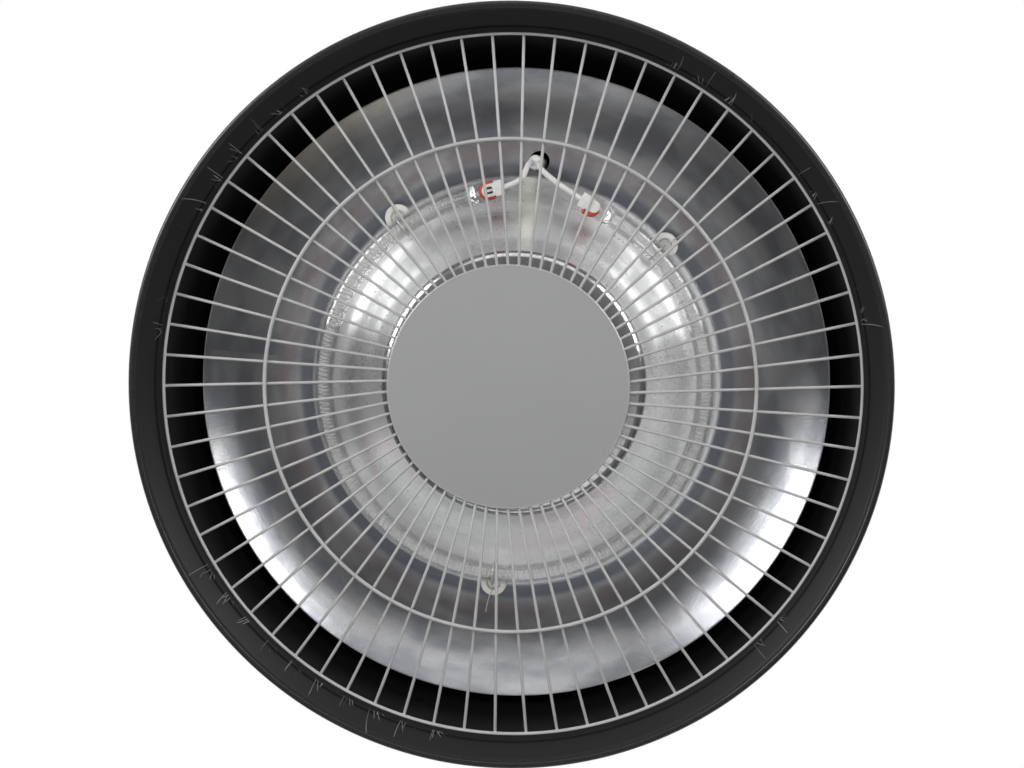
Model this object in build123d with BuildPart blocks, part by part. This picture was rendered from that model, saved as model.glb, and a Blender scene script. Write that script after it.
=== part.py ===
"""Hanging infrared patio heater: a spun bell shade over a ring lamp, its reflector and a wire guard.

Millimetres, +Z up. The origin is the centre of the shade's lowest edge, which the heater can stand on.
The mains side faces -Y: the lamp's two ends, the hole for its leads and the terminal block lie there.
"""

import os
from math import cos, degrees, pi, radians, sin, sqrt, tan

from build123d import *

# Clearances that every seat, hole and slot is worked out from
fit_gap = 0.3
screw_gap = 0.1
weld_bite = 0.3

# Shade, spun from steel sheet: a conical brim, a leaning wall and a sloping roof
rim_radius = 212.5
hem_width = 3.0
hem_height = 4.0
hem_chamfer = 0.8
shade_sheet = 1.2
wall_gap = 10.5
wall_top_height = 50.0
shade_bend = 36.0
shoulder_radius = 66.0
shoulder_height = 140.0
neck_hole_radius = 50.0

# Guard, welded from round wire, its outer ring snapped into a groove above the brim
guard_radius = 196.0
guard_height = 16.5
ring_wire = 2.0
ring_sides = 8
spoke_wire = 1.7
spoke_sides = 6
spoke_count = 70
spoke_offset = 5.0
guard_drop = 9.0
middle_ring_radius = 137.5
centre_plate_radius = 68.0
centre_plate_sheet = 1.0
spoke_overlap = 5.0
snap_depth = 0.7

# Reflector, spun from aluminium: a dish, a flat valley behind the lamp and a boss with a flat face
reflector_sheet = 0.8
reflector_rim_radius = 177.5
reflector_rim_height = 46.0
reflector_flange = 1.5
valley_height = 66.0
valley_width = 11.0
boss_face_radius = 73.0
boss_face_height = 44.0
boss_bevel = 2.5

# Lamp, a ring of quartz tube with flat seals, ceramic plugs and a coiled filament
lamp_radius = 109.5
lamp_height = 46.0
lamp_turn = 2.5
lamp_half_gap = 22.85
tube_diameter = 11.5
tube_wall = 1.1
tube_sides = 12
bore_sides = 8
tube_end_wall = 1.5
seal_length = 14.0
seal_width = 12.0
seal_thickness = 3.2
seal_taper = 5.0
filament_diameter = 6.4
filament_sides = 6
tail_diameter = 1.2
tail_length = 4.0
plug_overlap = 4.5
plug_body_length = 8.0
plug_body_width = 7.4
plug_thickness = 6.8
collar_length = 4.5
collar_width = 9.0
silicone_length = 8.6
silicone_wall = 1.3
silicone_back = 4.4

# Lamp supports, a ceramic post and a spring wire loop each
support_angle = 41.5
post_diameter = 15.0
post_length = 11.0
post_spigot_diameter = 8.0
post_spigot_length = 6.0
post_well_diameter = 10.5
post_well_depth = 6.0
clip_wire = 1.0
clip_sides = 4

# Leads from the terminal block through the reflector to the lamp
lead_diameter = 3.3
lead_sides = 6
lead_spacing = 3.8
lead_hole_diameter = 12.0
lead_hole_out = 18.0
sleeve_shift = 1.0
sleeve_diameter = 8.6
sleeve_wall = 0.7
sleeve_below = 4.0
sleeve_length = 15.0
block_stub = 5.0
grommet_drop = 11.0
slope_reach = 17.0
slope_drop = 26.0
turn_reach = 16.0
turn_rise = 15.0
sleeve_entry = 8.0
sleeve_exit = 6.0
fan_side = 4.5
fan_in = 5.0
fan_height = 3.5
plug_stub = 7.0

# Mounting plate under the shade's shoulder, and the spacers that carry the reflector
mounting_plate_radius = 62.0
mounting_plate_sheet = 2.0
spacer_circle = 45.0
spacer_width = 8.0
spacer_count = 3
spacer_thread_depth = 10.0

# Vented collar and cap above the shade
collar_outer_radius = 60.0
collar_sheet = 1.0
collar_height = 30.0
vent_count = 14
vent_width = 6.0
vent_height = 18.0
cap_sheet = 1.2
cap_overhang = 9.5
cap_flare = 3.0
cap_skirt_height = 19.0
cap_bevel = 6.0

# Hexagon-head screws
screw_diameter = 4.0
screw_head_width = 7.0
screw_head_height = 2.8

# Eye bolt through cap, collar, shade and plate, and the ring that it hangs by
bolt_diameter = 8.0
bolt_foot_diameter = 18.0
bolt_foot_height = 3.0
eye_hole_radius = 8.0
eye_wire = 7.0
eye_sides = 8
eye_sink = 1.5
bolt_nut_width = 13.0
bolt_nut_height = 6.5
bolt_end = 3.0
hanging_ring_radius = 24.0
hanging_ring_wire = 7.0

# Cable gland in the cap
gland_offset = 40.0
gland_thread_diameter = 16.0
gland_hex_width = 20.0
gland_hex_height = 5.0
gland_neck_height = 9.0
gland_bore_diameter = 11.0
gland_tail_length = 8.0
gland_nut_width = 22.0
gland_nut_height = 4.0
gland_seal_bore = 8.0
gland_seal_height = 8.0
gland_dome_width = 20.0
gland_dome_height = 14.0
gland_dome_bevel = 3.0
gland_dome_mouth = 10.4

# Terminal block on the mounting plate, and the grommet that the lamp's leads go down through
block_width = 34.0
block_depth = 18.0
block_height = 14.0
block_offset = 20.0
port_pitch = 10.0
port_height = 6.0
port_width = 4.4
port_depth = 6.0
screw_window_share = 0.6
grommet_offset = 43.0
grommet_bore = 7.6
grommet_wall = 1.1
grommet_flange_diameter = 14.0
grommet_flange_height = 1.0

BOTTOM = (Align.CENTER, Align.CENTER, Align.MIN)
TOP = (Align.CENTER, Align.CENTER, Align.MAX)
FROM_END = (Align.MIN, Align.CENTER, Align.CENTER)

# Heights and radii that several pieces share
wall_top_radius = reflector_rim_radius + wall_gap
plate_top = shoulder_height
plate_under = plate_top - mounting_plate_sheet
shoulder_top = shoulder_height + shade_sheet
cap_under = shoulder_top + collar_height
cap_top = cap_under + cap_sheet
cap_roof_radius = collar_outer_radius + cap_overhang
boss_back = boss_face_height + reflector_sheet
valley_back = valley_height + reflector_sheet
valley_inner_radius = lamp_radius - valley_width / 2
valley_outer_radius = lamp_radius + valley_width / 2
lead_hole_circle = lamp_radius + lead_hole_out
dish_width = reflector_rim_radius - valley_outer_radius
dish_depth = valley_height - reflector_rim_height
dish_radius = (dish_width**2 + dish_depth**2) / (2 * dish_depth)


def dish_height(radius):
    """Height of the reflector's lower face at a radius on the dish."""
    return valley_height - dish_radius + sqrt(dish_radius**2 - (radius - valley_outer_radius) ** 2)


def polar(radius, angle, height=0.0):
    """A point at a radius and an angle about the heater's axis."""
    return Vector(radius * cos(radians(angle)), radius * sin(radians(angle)), height)


def save(name, builder):
    """Labels a finished piece and writes its file."""
    builder.part.label = name
    export_step(builder.part, f"parts/{name}.step")


def hex_screw(length):
    """A hexagon-head screw whose head seats on the XY plane."""
    with BuildPart() as body:
        with BuildSketch():
            RegularPolygon(screw_head_width / 2, 6, major_radius=False)
        extrude(amount=screw_head_height)
        with BuildSketch():
            RegularPolygon(screw_diameter / 2, 6)
        extrude(amount=-length)
    return body.part


def washer(outer_diameter, bore_diameter, thickness):
    """A flat ring standing on the XY plane."""
    with BuildPart() as body:
        Cylinder(outer_diameter / 2, thickness, align=BOTTOM)
        Cylinder(bore_diameter / 2, thickness, align=BOTTOM, mode=Mode.SUBTRACT)
    return body.part


def hex_nut(width, bore_diameter, height):
    """A hexagon nut standing on the XY plane."""
    with BuildPart() as body:
        with BuildSketch():
            RegularPolygon(width / 2, 6, major_radius=False)
            Circle(bore_diameter / 2, mode=Mode.SUBTRACT)
        extrude(amount=height)
    return body.part


def held_lead(points):
    """A lead along straight runs joined by arcs as large as the runs allow."""
    corners = [Vector(*point) for point in points]
    radii = []
    for before, corner, after in zip(corners, corners[1:], corners[2:]):
        half_turn = radians((corner - before).get_angle(after - corner)) / 2
        radii.append(0.45 * min((corner - before).length, (after - corner).length) / tan(half_turn))
    with BuildPart() as tube:
        with BuildLine() as route:
            FilletPolyline(*corners, radius=radii)
        with BuildSketch(Plane(origin=route.line @ 0, z_dir=route.line % 0)) as section:
            RegularPolygon(lead_diameter / 2, lead_sides)
        sweep()
    run = route.wire().length
    print("lead length", round(run, 1), "tightest arc", round(min(radii), 1))
    print("  volume over section times length", round(tube.part.volume / (section.sketch.area * run), 4))
    return tube


# Shade: the sheet's inner line runs up the brim, round the snap groove, up the wall and over the roof
snap_floor_radius = guard_radius + ring_wire / 2 + fit_gap
snap_mouth_radius = snap_floor_radius - snap_depth
snap_half = ring_wire / 2 + fit_gap
with BuildPart() as outer_shade:
    with BuildSketch(Plane.XZ):
        with BuildLine() as inner_line:
            Polyline(
                (rim_radius - hem_width / 2, hem_height / 2),
                (snap_mouth_radius, guard_height - snap_half - snap_depth),
                (snap_floor_radius, guard_height - snap_half),
                (snap_floor_radius, guard_height + snap_half),
                (snap_mouth_radius, guard_height + snap_half + snap_depth),
            )
            FilletPolyline(
                (snap_mouth_radius, guard_height + snap_half + snap_depth),
                (wall_top_radius, wall_top_height),
                (shoulder_radius, shoulder_height),
                radius=shade_bend,
            )
            Line((shoulder_radius, shoulder_height), (neck_hole_radius, shoulder_height))
            offset(amount=shade_sheet, side=Side.RIGHT, kind=Kind.INTERSECTION)
        make_face()
        with Locations((rim_radius - hem_width / 2, hem_height / 2)):
            Rectangle(hem_width, hem_height)
    revolve(axis=Axis.Z)
    hem_edges = outer_shade.edges().filter_by(GeomType.CIRCLE).group_by(Axis.Z)[0]
    chamfer(hem_edges, hem_chamfer)
save("outer_shade", outer_shade)

# Mounting plate: a disc that the eye bolt pulls up against the shade's shoulder
with BuildPart() as mounting_plate:
    with Locations((0, 0, plate_under)):
        Cylinder(mounting_plate_radius, mounting_plate_sheet, align=BOTTOM)
        Cylinder(bolt_diameter / 2 + fit_gap, mounting_plate_sheet, align=BOTTOM, mode=Mode.SUBTRACT)
    with PolarLocations(spacer_circle, spacer_count, start_angle=90):
        with Locations((0, 0, plate_under)):
            Cylinder(screw_diameter / 2 + screw_gap, mounting_plate_sheet, align=BOTTOM, mode=Mode.SUBTRACT)
    with Locations((0, -grommet_offset, plate_under)):
        Cylinder(grommet_bore / 2 + grommet_wall, mounting_plate_sheet, align=BOTTOM, mode=Mode.SUBTRACT)
save("mounting_plate", mounting_plate)

# Vented collar: a ring of upright slots between the shade's shoulder and the cap
with BuildPart() as vent_collar:
    with Locations((0, 0, shoulder_top)):
        Cylinder(collar_outer_radius, collar_height, align=BOTTOM)
        Cylinder(collar_outer_radius - collar_sheet, collar_height, align=BOTTOM, mode=Mode.SUBTRACT)
    with PolarLocations(collar_outer_radius, vent_count):
        with Locations((0, 0, shoulder_top + collar_height / 2)):
            Box(4 * collar_sheet, vent_width, vent_height, mode=Mode.SUBTRACT)
save("vent_collar", vent_collar)

# Cap: a bevelled pan upside down on the collar, its skirt hanging clear of the vents
with BuildPart() as top_cap:
    with BuildSketch(Plane.XZ):
        with BuildLine():
            Polyline(
                (0, cap_under),
                (cap_roof_radius - cap_bevel, cap_under),
                (cap_roof_radius, cap_under - cap_bevel),
                (cap_roof_radius + cap_flare, cap_under - cap_skirt_height),
            )
            offset(amount=cap_sheet, side=Side.LEFT, kind=Kind.INTERSECTION)
        make_face()
    revolve(axis=Axis.Z)
    with Locations((0, 0, cap_under)):
        Cylinder(bolt_diameter / 2 + fit_gap, cap_sheet, align=BOTTOM, mode=Mode.SUBTRACT)
    with Locations((0, gland_offset, cap_under)):
        Cylinder(gland_thread_diameter / 2 + fit_gap, cap_sheet, align=BOTTOM, mode=Mode.SUBTRACT)
save("top_cap", top_cap)

# Eye bolt: a foot on the cap, an eye above it and a shank down through the mounting plate
foot_top = cap_top + bolt_foot_height
eye_radius = eye_hole_radius + eye_wire / 2
eye_height = foot_top + eye_radius + eye_wire / 2 - eye_sink
shank_end = plate_under - 2 * bolt_nut_height - bolt_end
eye_flat_turn = 180 / eye_sides
with BuildPart() as eye_bolt:
    with Locations((0, 0, cap_top)):
        Cylinder(bolt_foot_diameter / 2, bolt_foot_height, align=BOTTOM)
        Cylinder(bolt_diameter / 2, cap_top - shank_end, align=TOP)
    with BuildSketch(Plane.YZ):
        with Locations((0, eye_height + eye_radius)):
            RegularPolygon(eye_wire / 2, eye_sides, major_radius=False, rotation=eye_flat_turn)
    revolve(axis=Axis((0, 0, eye_height), (0, 1, 0)))
save("eye_bolt", eye_bolt)

with BuildPart() as eye_nuts:
    for nut_top in (plate_under, plate_under - bolt_nut_height - screw_gap):
        with Locations((0, 0, nut_top - bolt_nut_height)):
            add(hex_nut(bolt_nut_width, bolt_diameter + 2 * screw_gap, bolt_nut_height))
save("eye_nuts", eye_nuts)

# Hanging ring: upright in the eye, as the heater's weight pulls it
ring_corner = hanging_ring_wire / 2 / cos(radians(eye_flat_turn))
ring_pivot_height = eye_height + eye_hole_radius - ring_corner - fit_gap
ring_centre_height = ring_pivot_height + hanging_ring_radius
with BuildPart() as hanging_ring:
    with BuildSketch(Plane.XZ):
        with Locations((0, ring_centre_height + hanging_ring_radius)):
            RegularPolygon(hanging_ring_wire / 2, eye_sides, major_radius=False, rotation=eye_flat_turn)
    revolve(axis=Axis((0, 0, ring_centre_height), (1, 0, 0)))
save("hanging_ring", hanging_ring)

# Reflector: its lower face runs from the boss over the bevel, the cone, the valley and the dish to a flange
support_angles = [-90 - support_angle, -90 + support_angle, 90]
post_circle = lamp_radius + tube_diameter / 2 + fit_gap + clip_wire / 2
with BuildPart() as reflector:
    with BuildSketch(Plane.XZ):
        with BuildLine():
            for lift in (0, reflector_sheet):
                Polyline(
                    (0, boss_face_height + lift),
                    (boss_face_radius, boss_face_height + lift),
                    (boss_face_radius + boss_bevel, boss_face_height + boss_bevel + lift),
                    (valley_inner_radius, valley_height + lift),
                    (valley_outer_radius, valley_height + lift),
                )
                dish_edge = (reflector_rim_radius, reflector_rim_height + lift)
                TangentArc((valley_outer_radius, valley_height + lift), dish_edge, tangent=(1, 0))
                Line(dish_edge, (reflector_rim_radius + reflector_flange, reflector_rim_height + lift))
            flange_edge = (reflector_rim_radius + reflector_flange, reflector_rim_height)
            Line(flange_edge, (flange_edge[0], flange_edge[1] + reflector_sheet))
            Line((0, boss_face_height), (0, boss_back))
        make_face()
    revolve(axis=Axis.Z)
    with Locations((0, -lead_hole_circle, valley_back)):
        Cylinder(lead_hole_diameter / 2, dish_depth, align=TOP, mode=Mode.SUBTRACT)
    with Locations(*[polar(post_circle, angle, valley_back) for angle in support_angles]):
        Cylinder(post_spigot_diameter / 2 + screw_gap, dish_depth, align=TOP, mode=Mode.SUBTRACT)
save("reflector", reflector)

# Spacers: hexagon studs on the boss's back, each screwed to the mounting plate from above
spacer_length = plate_under - boss_back
with BuildPart() as reflector_spacers:
    with BuildSketch(Plane.XY.offset(boss_back)):
        with PolarLocations(spacer_circle, spacer_count, start_angle=90):
            RegularPolygon(spacer_width / 2, 6, major_radius=False)
    extrude(amount=spacer_length)
    with PolarLocations(spacer_circle, spacer_count, start_angle=90):
        with Locations((0, 0, plate_under)):
            Cylinder(screw_diameter / 2 + screw_gap, spacer_thread_depth, align=TOP, mode=Mode.SUBTRACT)
save("reflector_spacers", reflector_spacers)

with BuildPart() as spacer_screws:
    with PolarLocations(spacer_circle, spacer_count, start_angle=90):
        with Locations((0, 0, plate_top)):
            add(hex_screw(mounting_plate_sheet + spacer_thread_depth - 2 * screw_gap))
save("spacer_screws", spacer_screws)

# Guard: straight spokes on a shallow cone, with both rings and the plate welded under them
spoke_radius = spoke_wire / 2
spoke_top_height = guard_height + (ring_wire + spoke_wire) / 2 - weld_bite
spoke_outer = snap_mouth_radius - fit_gap
spoke_inner = centre_plate_radius - spoke_overlap
spoke_slope = guard_drop / (spoke_outer - spoke_inner)


def spoke_height(radius):
    """Height of a spoke's centre line at a distance along it."""
    return spoke_top_height - (spoke_outer - radius) * spoke_slope


spoke_start = Vector(spoke_inner, spoke_offset, spoke_height(spoke_inner))
spoke_finish = Vector(sqrt(spoke_outer**2 - spoke_offset**2), spoke_offset, spoke_top_height)
with BuildPart() as one_spoke:
    with BuildSketch(Plane(origin=spoke_start, x_dir=(0, 1, 0), z_dir=spoke_finish - spoke_start)):
        RegularPolygon(spoke_radius, spoke_sides)
    extrude(amount=(spoke_finish - spoke_start).length)
with BuildPart() as guard_spokes:
    with PolarLocations(0, spoke_count, start_angle=-90):
        add(one_spoke.part)
save("guard_spokes", guard_spokes)


def guard_ring(radius, height):
    """A wire ring about the heater's axis, the flats of its section facing down and out."""
    with BuildPart() as ring:
        with BuildSketch(Plane.XZ):
            with Locations((radius, height)):
                RegularPolygon(ring_wire / 2, ring_sides, major_radius=False, rotation=180 / ring_sides)
        revolve(axis=Axis.Z)
    return ring


under_spokes = (ring_wire + spoke_wire) / 2 - weld_bite
guard_outer_ring = guard_ring(guard_radius, guard_height)
save("guard_outer_ring", guard_outer_ring)
guard_middle_ring = guard_ring(middle_ring_radius, spoke_height(middle_ring_radius) - under_spokes)
save("guard_middle_ring", guard_middle_ring)

centre_plate_top = spoke_height(centre_plate_radius) - spoke_radius + weld_bite
with BuildPart() as guard_centre_plate:
    with Locations((0, 0, centre_plate_top)):
        Cylinder(centre_plate_radius, centre_plate_sheet, align=TOP)
    chamfer(guard_centre_plate.edges(), centre_plate_sheet / 4)
save("guard_centre_plate", guard_centre_plate)

# Lamp: the tube's ring, and a frame at each end whose X axis runs along the seal
gap_middle = lamp_turn - 90
ring_start = gap_middle + lamp_half_gap
ring_finish = gap_middle + 360 - lamp_half_gap


def lamp_end(angle, way):
    """The frame at one end of the ring: X leads away along the seal, Z is up."""
    along = Vector(-sin(radians(angle)), cos(radians(angle)), 0) * way
    return Plane(origin=polar(lamp_radius, angle, lamp_height), x_dir=along, z_dir=(0, 0, 1))


lamp_ends = [lamp_end(ring_start, -1), lamp_end(ring_finish, 1)]
tube_radius = tube_diameter / 2
bore_radius = tube_radius - tube_wall
with BuildPart() as quartz_tube:
    with BuildSketch(Plane.XZ.rotated((0, 0, ring_start))):
        with Locations((lamp_radius, lamp_height)):
            RegularPolygon(tube_radius, tube_sides)
            RegularPolygon(bore_radius, bore_sides, mode=Mode.SUBTRACT)
    revolve(axis=Axis.Z, revolution_arc=ring_finish - ring_start)
    for end in lamp_ends:
        end_wall = Plane(origin=end.origin, x_dir=end.y_dir, z_dir=end.x_dir)
        taper = end_wall.offset(tube_end_wall)
        with BuildSketch(end_wall):
            RegularPolygon(tube_radius, tube_sides)
        extrude(amount=tube_end_wall)
        with BuildSketch(taper):
            RegularPolygon(tube_radius, tube_sides)
        with BuildSketch(taper.offset(seal_taper)):
            Rectangle(seal_width, seal_thickness)
        loft()
        with BuildSketch(taper.offset(seal_taper)):
            Rectangle(seal_width, seal_thickness)
        extrude(amount=seal_length - tube_end_wall - seal_taper)
save("quartz_tube", quartz_tube)

# Filament: the outer form of the fine coil, with a straight tail to each end of the bore
tail_turn = degrees(tail_length / lamp_radius)
with BuildPart() as filament:
    with BuildSketch(Plane.XZ.rotated((0, 0, ring_start + tail_turn))):
        with Locations((lamp_radius, lamp_height)):
            RegularPolygon(filament_diameter / 2, filament_sides)
    revolve(axis=Axis.Z, revolution_arc=ring_finish - ring_start - 2 * tail_turn)
    with BuildSketch(Plane.XZ.rotated((0, 0, ring_start))):
        with Locations((lamp_radius, lamp_height)):
            RegularPolygon(tail_diameter / 2, filament_sides)
    revolve(axis=Axis.Z, revolution_arc=ring_finish - ring_start)
save("filament", filament)

# Ceramic plugs: a body slotted over the end of the seal and a wider collar behind it
plug_start = seal_length - plug_overlap
plug_end = plug_start + plug_body_length + collar_length
with BuildPart() as end_plugs:
    with Locations(*lamp_ends):
        with Locations((plug_start, 0, 0)):
            Box(plug_body_length, plug_body_width, plug_thickness, align=FROM_END)
        with Locations((plug_end - collar_length, 0, 0)):
            Box(collar_length, collar_width, plug_thickness, align=FROM_END)
    with Locations(*lamp_ends):
        with Locations((0, 0, 0)):
            seal_room = (seal_length + fit_gap, seal_width, seal_thickness + screw_gap)
            Box(*seal_room, align=FROM_END, mode=Mode.SUBTRACT)
        with Locations(Location((plug_end, 0, 0), (0, -90, 0))):
            Cylinder(lead_diameter / 2 + screw_gap, collar_length / 2, align=BOTTOM, mode=Mode.SUBTRACT)
save("end_plugs", end_plugs)

# Silicone packed round each plug's inner end and behind it, flush with its front
with BuildPart() as end_seals:
    with Locations(*lamp_ends):
        with Locations((plug_start - silicone_wall, 0, -plug_thickness / 2)):
            Box(
                silicone_length,
                plug_body_width + 2 * silicone_wall,
                plug_thickness / 2 + silicone_back,
                align=(Align.MIN, Align.CENTER, Align.MIN),
            )
    with Locations(*lamp_ends):
        with Locations((plug_start, 0, 0)):
            Box(silicone_length, plug_body_width, plug_thickness, align=FROM_END, mode=Mode.SUBTRACT)
        Box(seal_length, seal_width, seal_thickness, align=FROM_END, mode=Mode.SUBTRACT)
save("end_seals", end_seals)

# Lamp supports: ceramic posts cemented into the reflector, each with a deep well for its spring wire
post_top = dish_height(post_circle + post_diameter / 2)
post_under = post_top - post_length
post_spots = [polar(post_circle, angle) for angle in support_angles]
with BuildPart() as support_posts:
    with Locations(*post_spots):
        with Locations((0, 0, post_top)):
            Cylinder(post_diameter / 2, post_length, align=TOP)
            Cylinder(post_spigot_diameter / 2, post_spigot_length, align=BOTTOM)
        with Locations((0, 0, post_under)):
            Cylinder(post_well_diameter / 2, post_well_depth, align=BOTTOM, mode=Mode.SUBTRACT)
save("support_posts", support_posts)

# Spring wires: down from the well, round the front of the tube and up its inner side
clip_radius = post_circle - lamp_radius
clip_top = post_under + post_well_depth - screw_gap
with BuildPart() as one_clip:
    with BuildLine(Plane.XZ) as clip_line:
        Line((post_circle, clip_top), (post_circle, lamp_height))
        CenterArc((lamp_radius, lamp_height), clip_radius, 0, -270)
    with BuildSketch(Plane(origin=(post_circle, 0, clip_top), z_dir=(0, 0, -1))):
        RegularPolygon(clip_wire / 2, clip_sides)
    sweep()
with BuildPart() as support_clips:
    with Locations(*[Location((0, 0, 0), (0, 0, angle)) for angle in support_angles]):
        add(one_clip.part)
save("support_clips", support_clips)

# Leads: out of the block, down through the plate's grommet, over the reflector and out of its hole
bundle_radius = lead_hole_circle - sleeve_shift
sleeve_under = dish_height(lead_hole_circle) - sleeve_below
sleeve_over = sleeve_under + sleeve_length
port_level = plate_top + port_height


def lamp_lead(side, end):
    """A lamp lead's route: side is -1 or 1, end is the frame of the lamp end that it feeds."""
    grommet_x = side * lead_spacing / 2
    bundle_x = grommet_x - sleeve_shift
    block_face = -block_offset - block_depth / 2
    collar_face = end.origin + end.x_dir * plug_end
    return [
        (side * port_pitch, block_face + port_depth - screw_gap, port_level),
        (side * port_pitch, block_face - block_stub, port_level),
        (grommet_x, -grommet_offset, port_level),
        (grommet_x, -grommet_offset, plate_under - grommet_drop),
        (bundle_x, -grommet_offset - slope_reach, plate_under - slope_drop),
        (bundle_x, -bundle_radius + turn_reach, sleeve_over + turn_rise),
        (bundle_x, -bundle_radius, sleeve_over + sleeve_entry),
        (bundle_x, -bundle_radius, sleeve_under - sleeve_exit),
        (bundle_x + side * fan_side, -bundle_radius + fan_in, lamp_height + fan_height),
        tuple(collar_face + end.x_dir * plug_stub),
        tuple(collar_face - end.x_dir * (collar_length / 2 - screw_gap)),
    ]


lead_right = held_lead(lamp_lead(1, lamp_ends[0]))
save("lead_right", lead_right)
lead_left = held_lead(lamp_lead(-1, lamp_ends[1]))
save("lead_left", lead_left)

with BuildPart() as lead_sleeve:
    with Locations((-sleeve_shift, -bundle_radius, sleeve_under)):
        add(washer(sleeve_diameter, sleeve_diameter - 2 * sleeve_wall, sleeve_length))
save("lead_sleeve", lead_sleeve)

# Grommet: a bush in the plate with a flange above and below it
grommet_bottom = plate_under - grommet_flange_height
with BuildPart() as plate_grommet:
    with Locations((0, -grommet_offset, grommet_bottom)):
        bush_height = mounting_plate_sheet + 2 * grommet_flange_height
        Cylinder(grommet_bore / 2 + grommet_wall, bush_height, align=BOTTOM)
        Cylinder(grommet_flange_diameter / 2, grommet_flange_height, align=BOTTOM)
    with Locations((0, -grommet_offset, plate_top)):
        Cylinder(grommet_flange_diameter / 2, grommet_flange_height, align=BOTTOM)
    with Locations((0, -grommet_offset, grommet_bottom)):
        Cylinder(grommet_bore / 2, bush_height, align=BOTTOM, mode=Mode.SUBTRACT)
save("plate_grommet", plate_grommet)

# Terminal block: three ways, a port on each face and a screw window over each port
port_spots = [(x, side * block_depth / 2) for x in (-port_pitch, 0, port_pitch) for side in (-1, 1)]
with BuildPart() as terminal_block:
    with Locations((0, -block_offset, plate_top)):
        Box(block_width, block_depth, block_height, align=BOTTOM)
        with Locations(*[(x, y, port_height) for x, y in port_spots]):
            Box(port_width, 2 * port_depth, port_width, mode=Mode.SUBTRACT)
        with Locations(*[(x, y * screw_window_share, block_height) for x, y in port_spots]):
            Box(port_width, port_width, port_width, align=TOP, mode=Mode.SUBTRACT)
save("terminal_block", terminal_block)

# Cable gland: a threaded body through the cap, a nut under it, a rubber seal and a domed nut
gland_top = cap_top + gland_hex_height + gland_neck_height
with BuildPart() as gland_body:
    with BuildSketch(Plane.XY.offset(cap_top)):
        with Locations((0, gland_offset)):
            RegularPolygon(gland_hex_width / 2, 6, major_radius=False)
    extrude(amount=gland_hex_height)
    with Locations((0, gland_offset, cap_top)):
        Cylinder(gland_thread_diameter / 2, gland_hex_height + gland_neck_height, align=BOTTOM)
        Cylinder(gland_thread_diameter / 2, gland_tail_length, align=TOP)
    with Locations((0, gland_offset, gland_top)):
        bore_length = gland_top - cap_top + gland_tail_length
        Cylinder(gland_bore_diameter / 2, bore_length, align=TOP, mode=Mode.SUBTRACT)
save("gland_body", gland_body)

with BuildPart() as gland_nut:
    with Locations((0, gland_offset, cap_under - gland_nut_height)):
        add(hex_nut(gland_nut_width, gland_thread_diameter + 2 * screw_gap, gland_nut_height))
save("gland_nut", gland_nut)

with BuildPart() as gland_seal:
    with Locations((0, gland_offset, gland_top - gland_seal_height)):
        add(washer(gland_bore_diameter - 2 * screw_gap, gland_seal_bore, gland_seal_height))
save("gland_seal", gland_seal)

with BuildPart() as gland_dome:
    with BuildSketch(Plane.XY.offset(cap_top + gland_hex_height + fit_gap)):
        with Locations((0, gland_offset)):
            RegularPolygon(gland_dome_width / 2, 6, major_radius=False)
    extrude(amount=gland_dome_height)
    chamfer(gland_dome.edges().group_by(Axis.Z)[-1], gland_dome_bevel)
    with Locations((0, gland_offset, gland_top + screw_gap)):
        Cylinder(gland_thread_diameter / 2 + screw_gap, gland_neck_height, align=TOP, mode=Mode.SUBTRACT)
        Cylinder(gland_dome_mouth / 2, gland_dome_height, align=BOTTOM, mode=Mode.SUBTRACT)
save("gland_dome", gland_dome)
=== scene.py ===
"""Hanging infrared patio heater: the looks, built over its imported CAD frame.

Metres, +Z up, in the frame's own place. Each operator makes one group of pieces, and main() calls
them in order. The mains side of the heater faces -Y, and the camera looks up into the reflector.
"""

from math import acos, cos, pi, radians, sin, sqrt, tan, tau

import bmesh
import bpy
from bpy.props import FloatProperty, FloatVectorProperty, IntProperty, PointerProperty
from mathutils import Matrix, Vector


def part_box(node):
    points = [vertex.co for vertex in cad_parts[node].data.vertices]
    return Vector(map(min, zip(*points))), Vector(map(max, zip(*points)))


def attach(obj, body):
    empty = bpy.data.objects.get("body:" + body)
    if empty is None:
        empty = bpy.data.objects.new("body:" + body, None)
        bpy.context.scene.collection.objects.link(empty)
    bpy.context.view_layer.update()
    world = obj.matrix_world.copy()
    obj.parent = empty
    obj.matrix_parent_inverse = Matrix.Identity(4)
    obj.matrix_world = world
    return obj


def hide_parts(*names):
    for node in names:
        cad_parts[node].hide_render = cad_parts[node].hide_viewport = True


bl_info = {
    "name": "Hanging patio heater",
    "version": (1, 0, 0),
    "blender": (4, 5, 0),
    "location": "View3D > Sidebar > Heater",
    "description": "Builds a hanging infrared patio heater over its CAD frame",
    "category": "Add Mesh",
}

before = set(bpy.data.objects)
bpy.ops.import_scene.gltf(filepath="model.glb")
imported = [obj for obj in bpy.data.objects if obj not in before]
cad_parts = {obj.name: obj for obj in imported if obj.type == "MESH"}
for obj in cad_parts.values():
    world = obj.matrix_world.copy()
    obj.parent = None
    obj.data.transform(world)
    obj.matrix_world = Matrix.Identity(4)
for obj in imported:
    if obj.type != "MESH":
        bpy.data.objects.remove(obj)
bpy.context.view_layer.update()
BODY = "housing"
TURN_STEPS = 256
Z_AXIS = Vector((0, 0, 1))
PICTURE_TURN = radians(-6.3)  # how far the heater is turned in the camera's picture
WELD_BITE = 0.0003  # how far two welded wires sink into each other
PLATE_LAP = 0.005  # how far the spokes reach in over the plate
PLUG_END = 0.022  # where the plugs end, along the lamp's ends


def number(name, value, about, **kind):
    return FloatProperty(name=name, description=about, default=value, **kind)


def length(name, value, about):
    """A length in metres that the panel shows in the scene's units."""
    return number(name, value, about, min=0, precision=5, unit="LENGTH")


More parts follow.
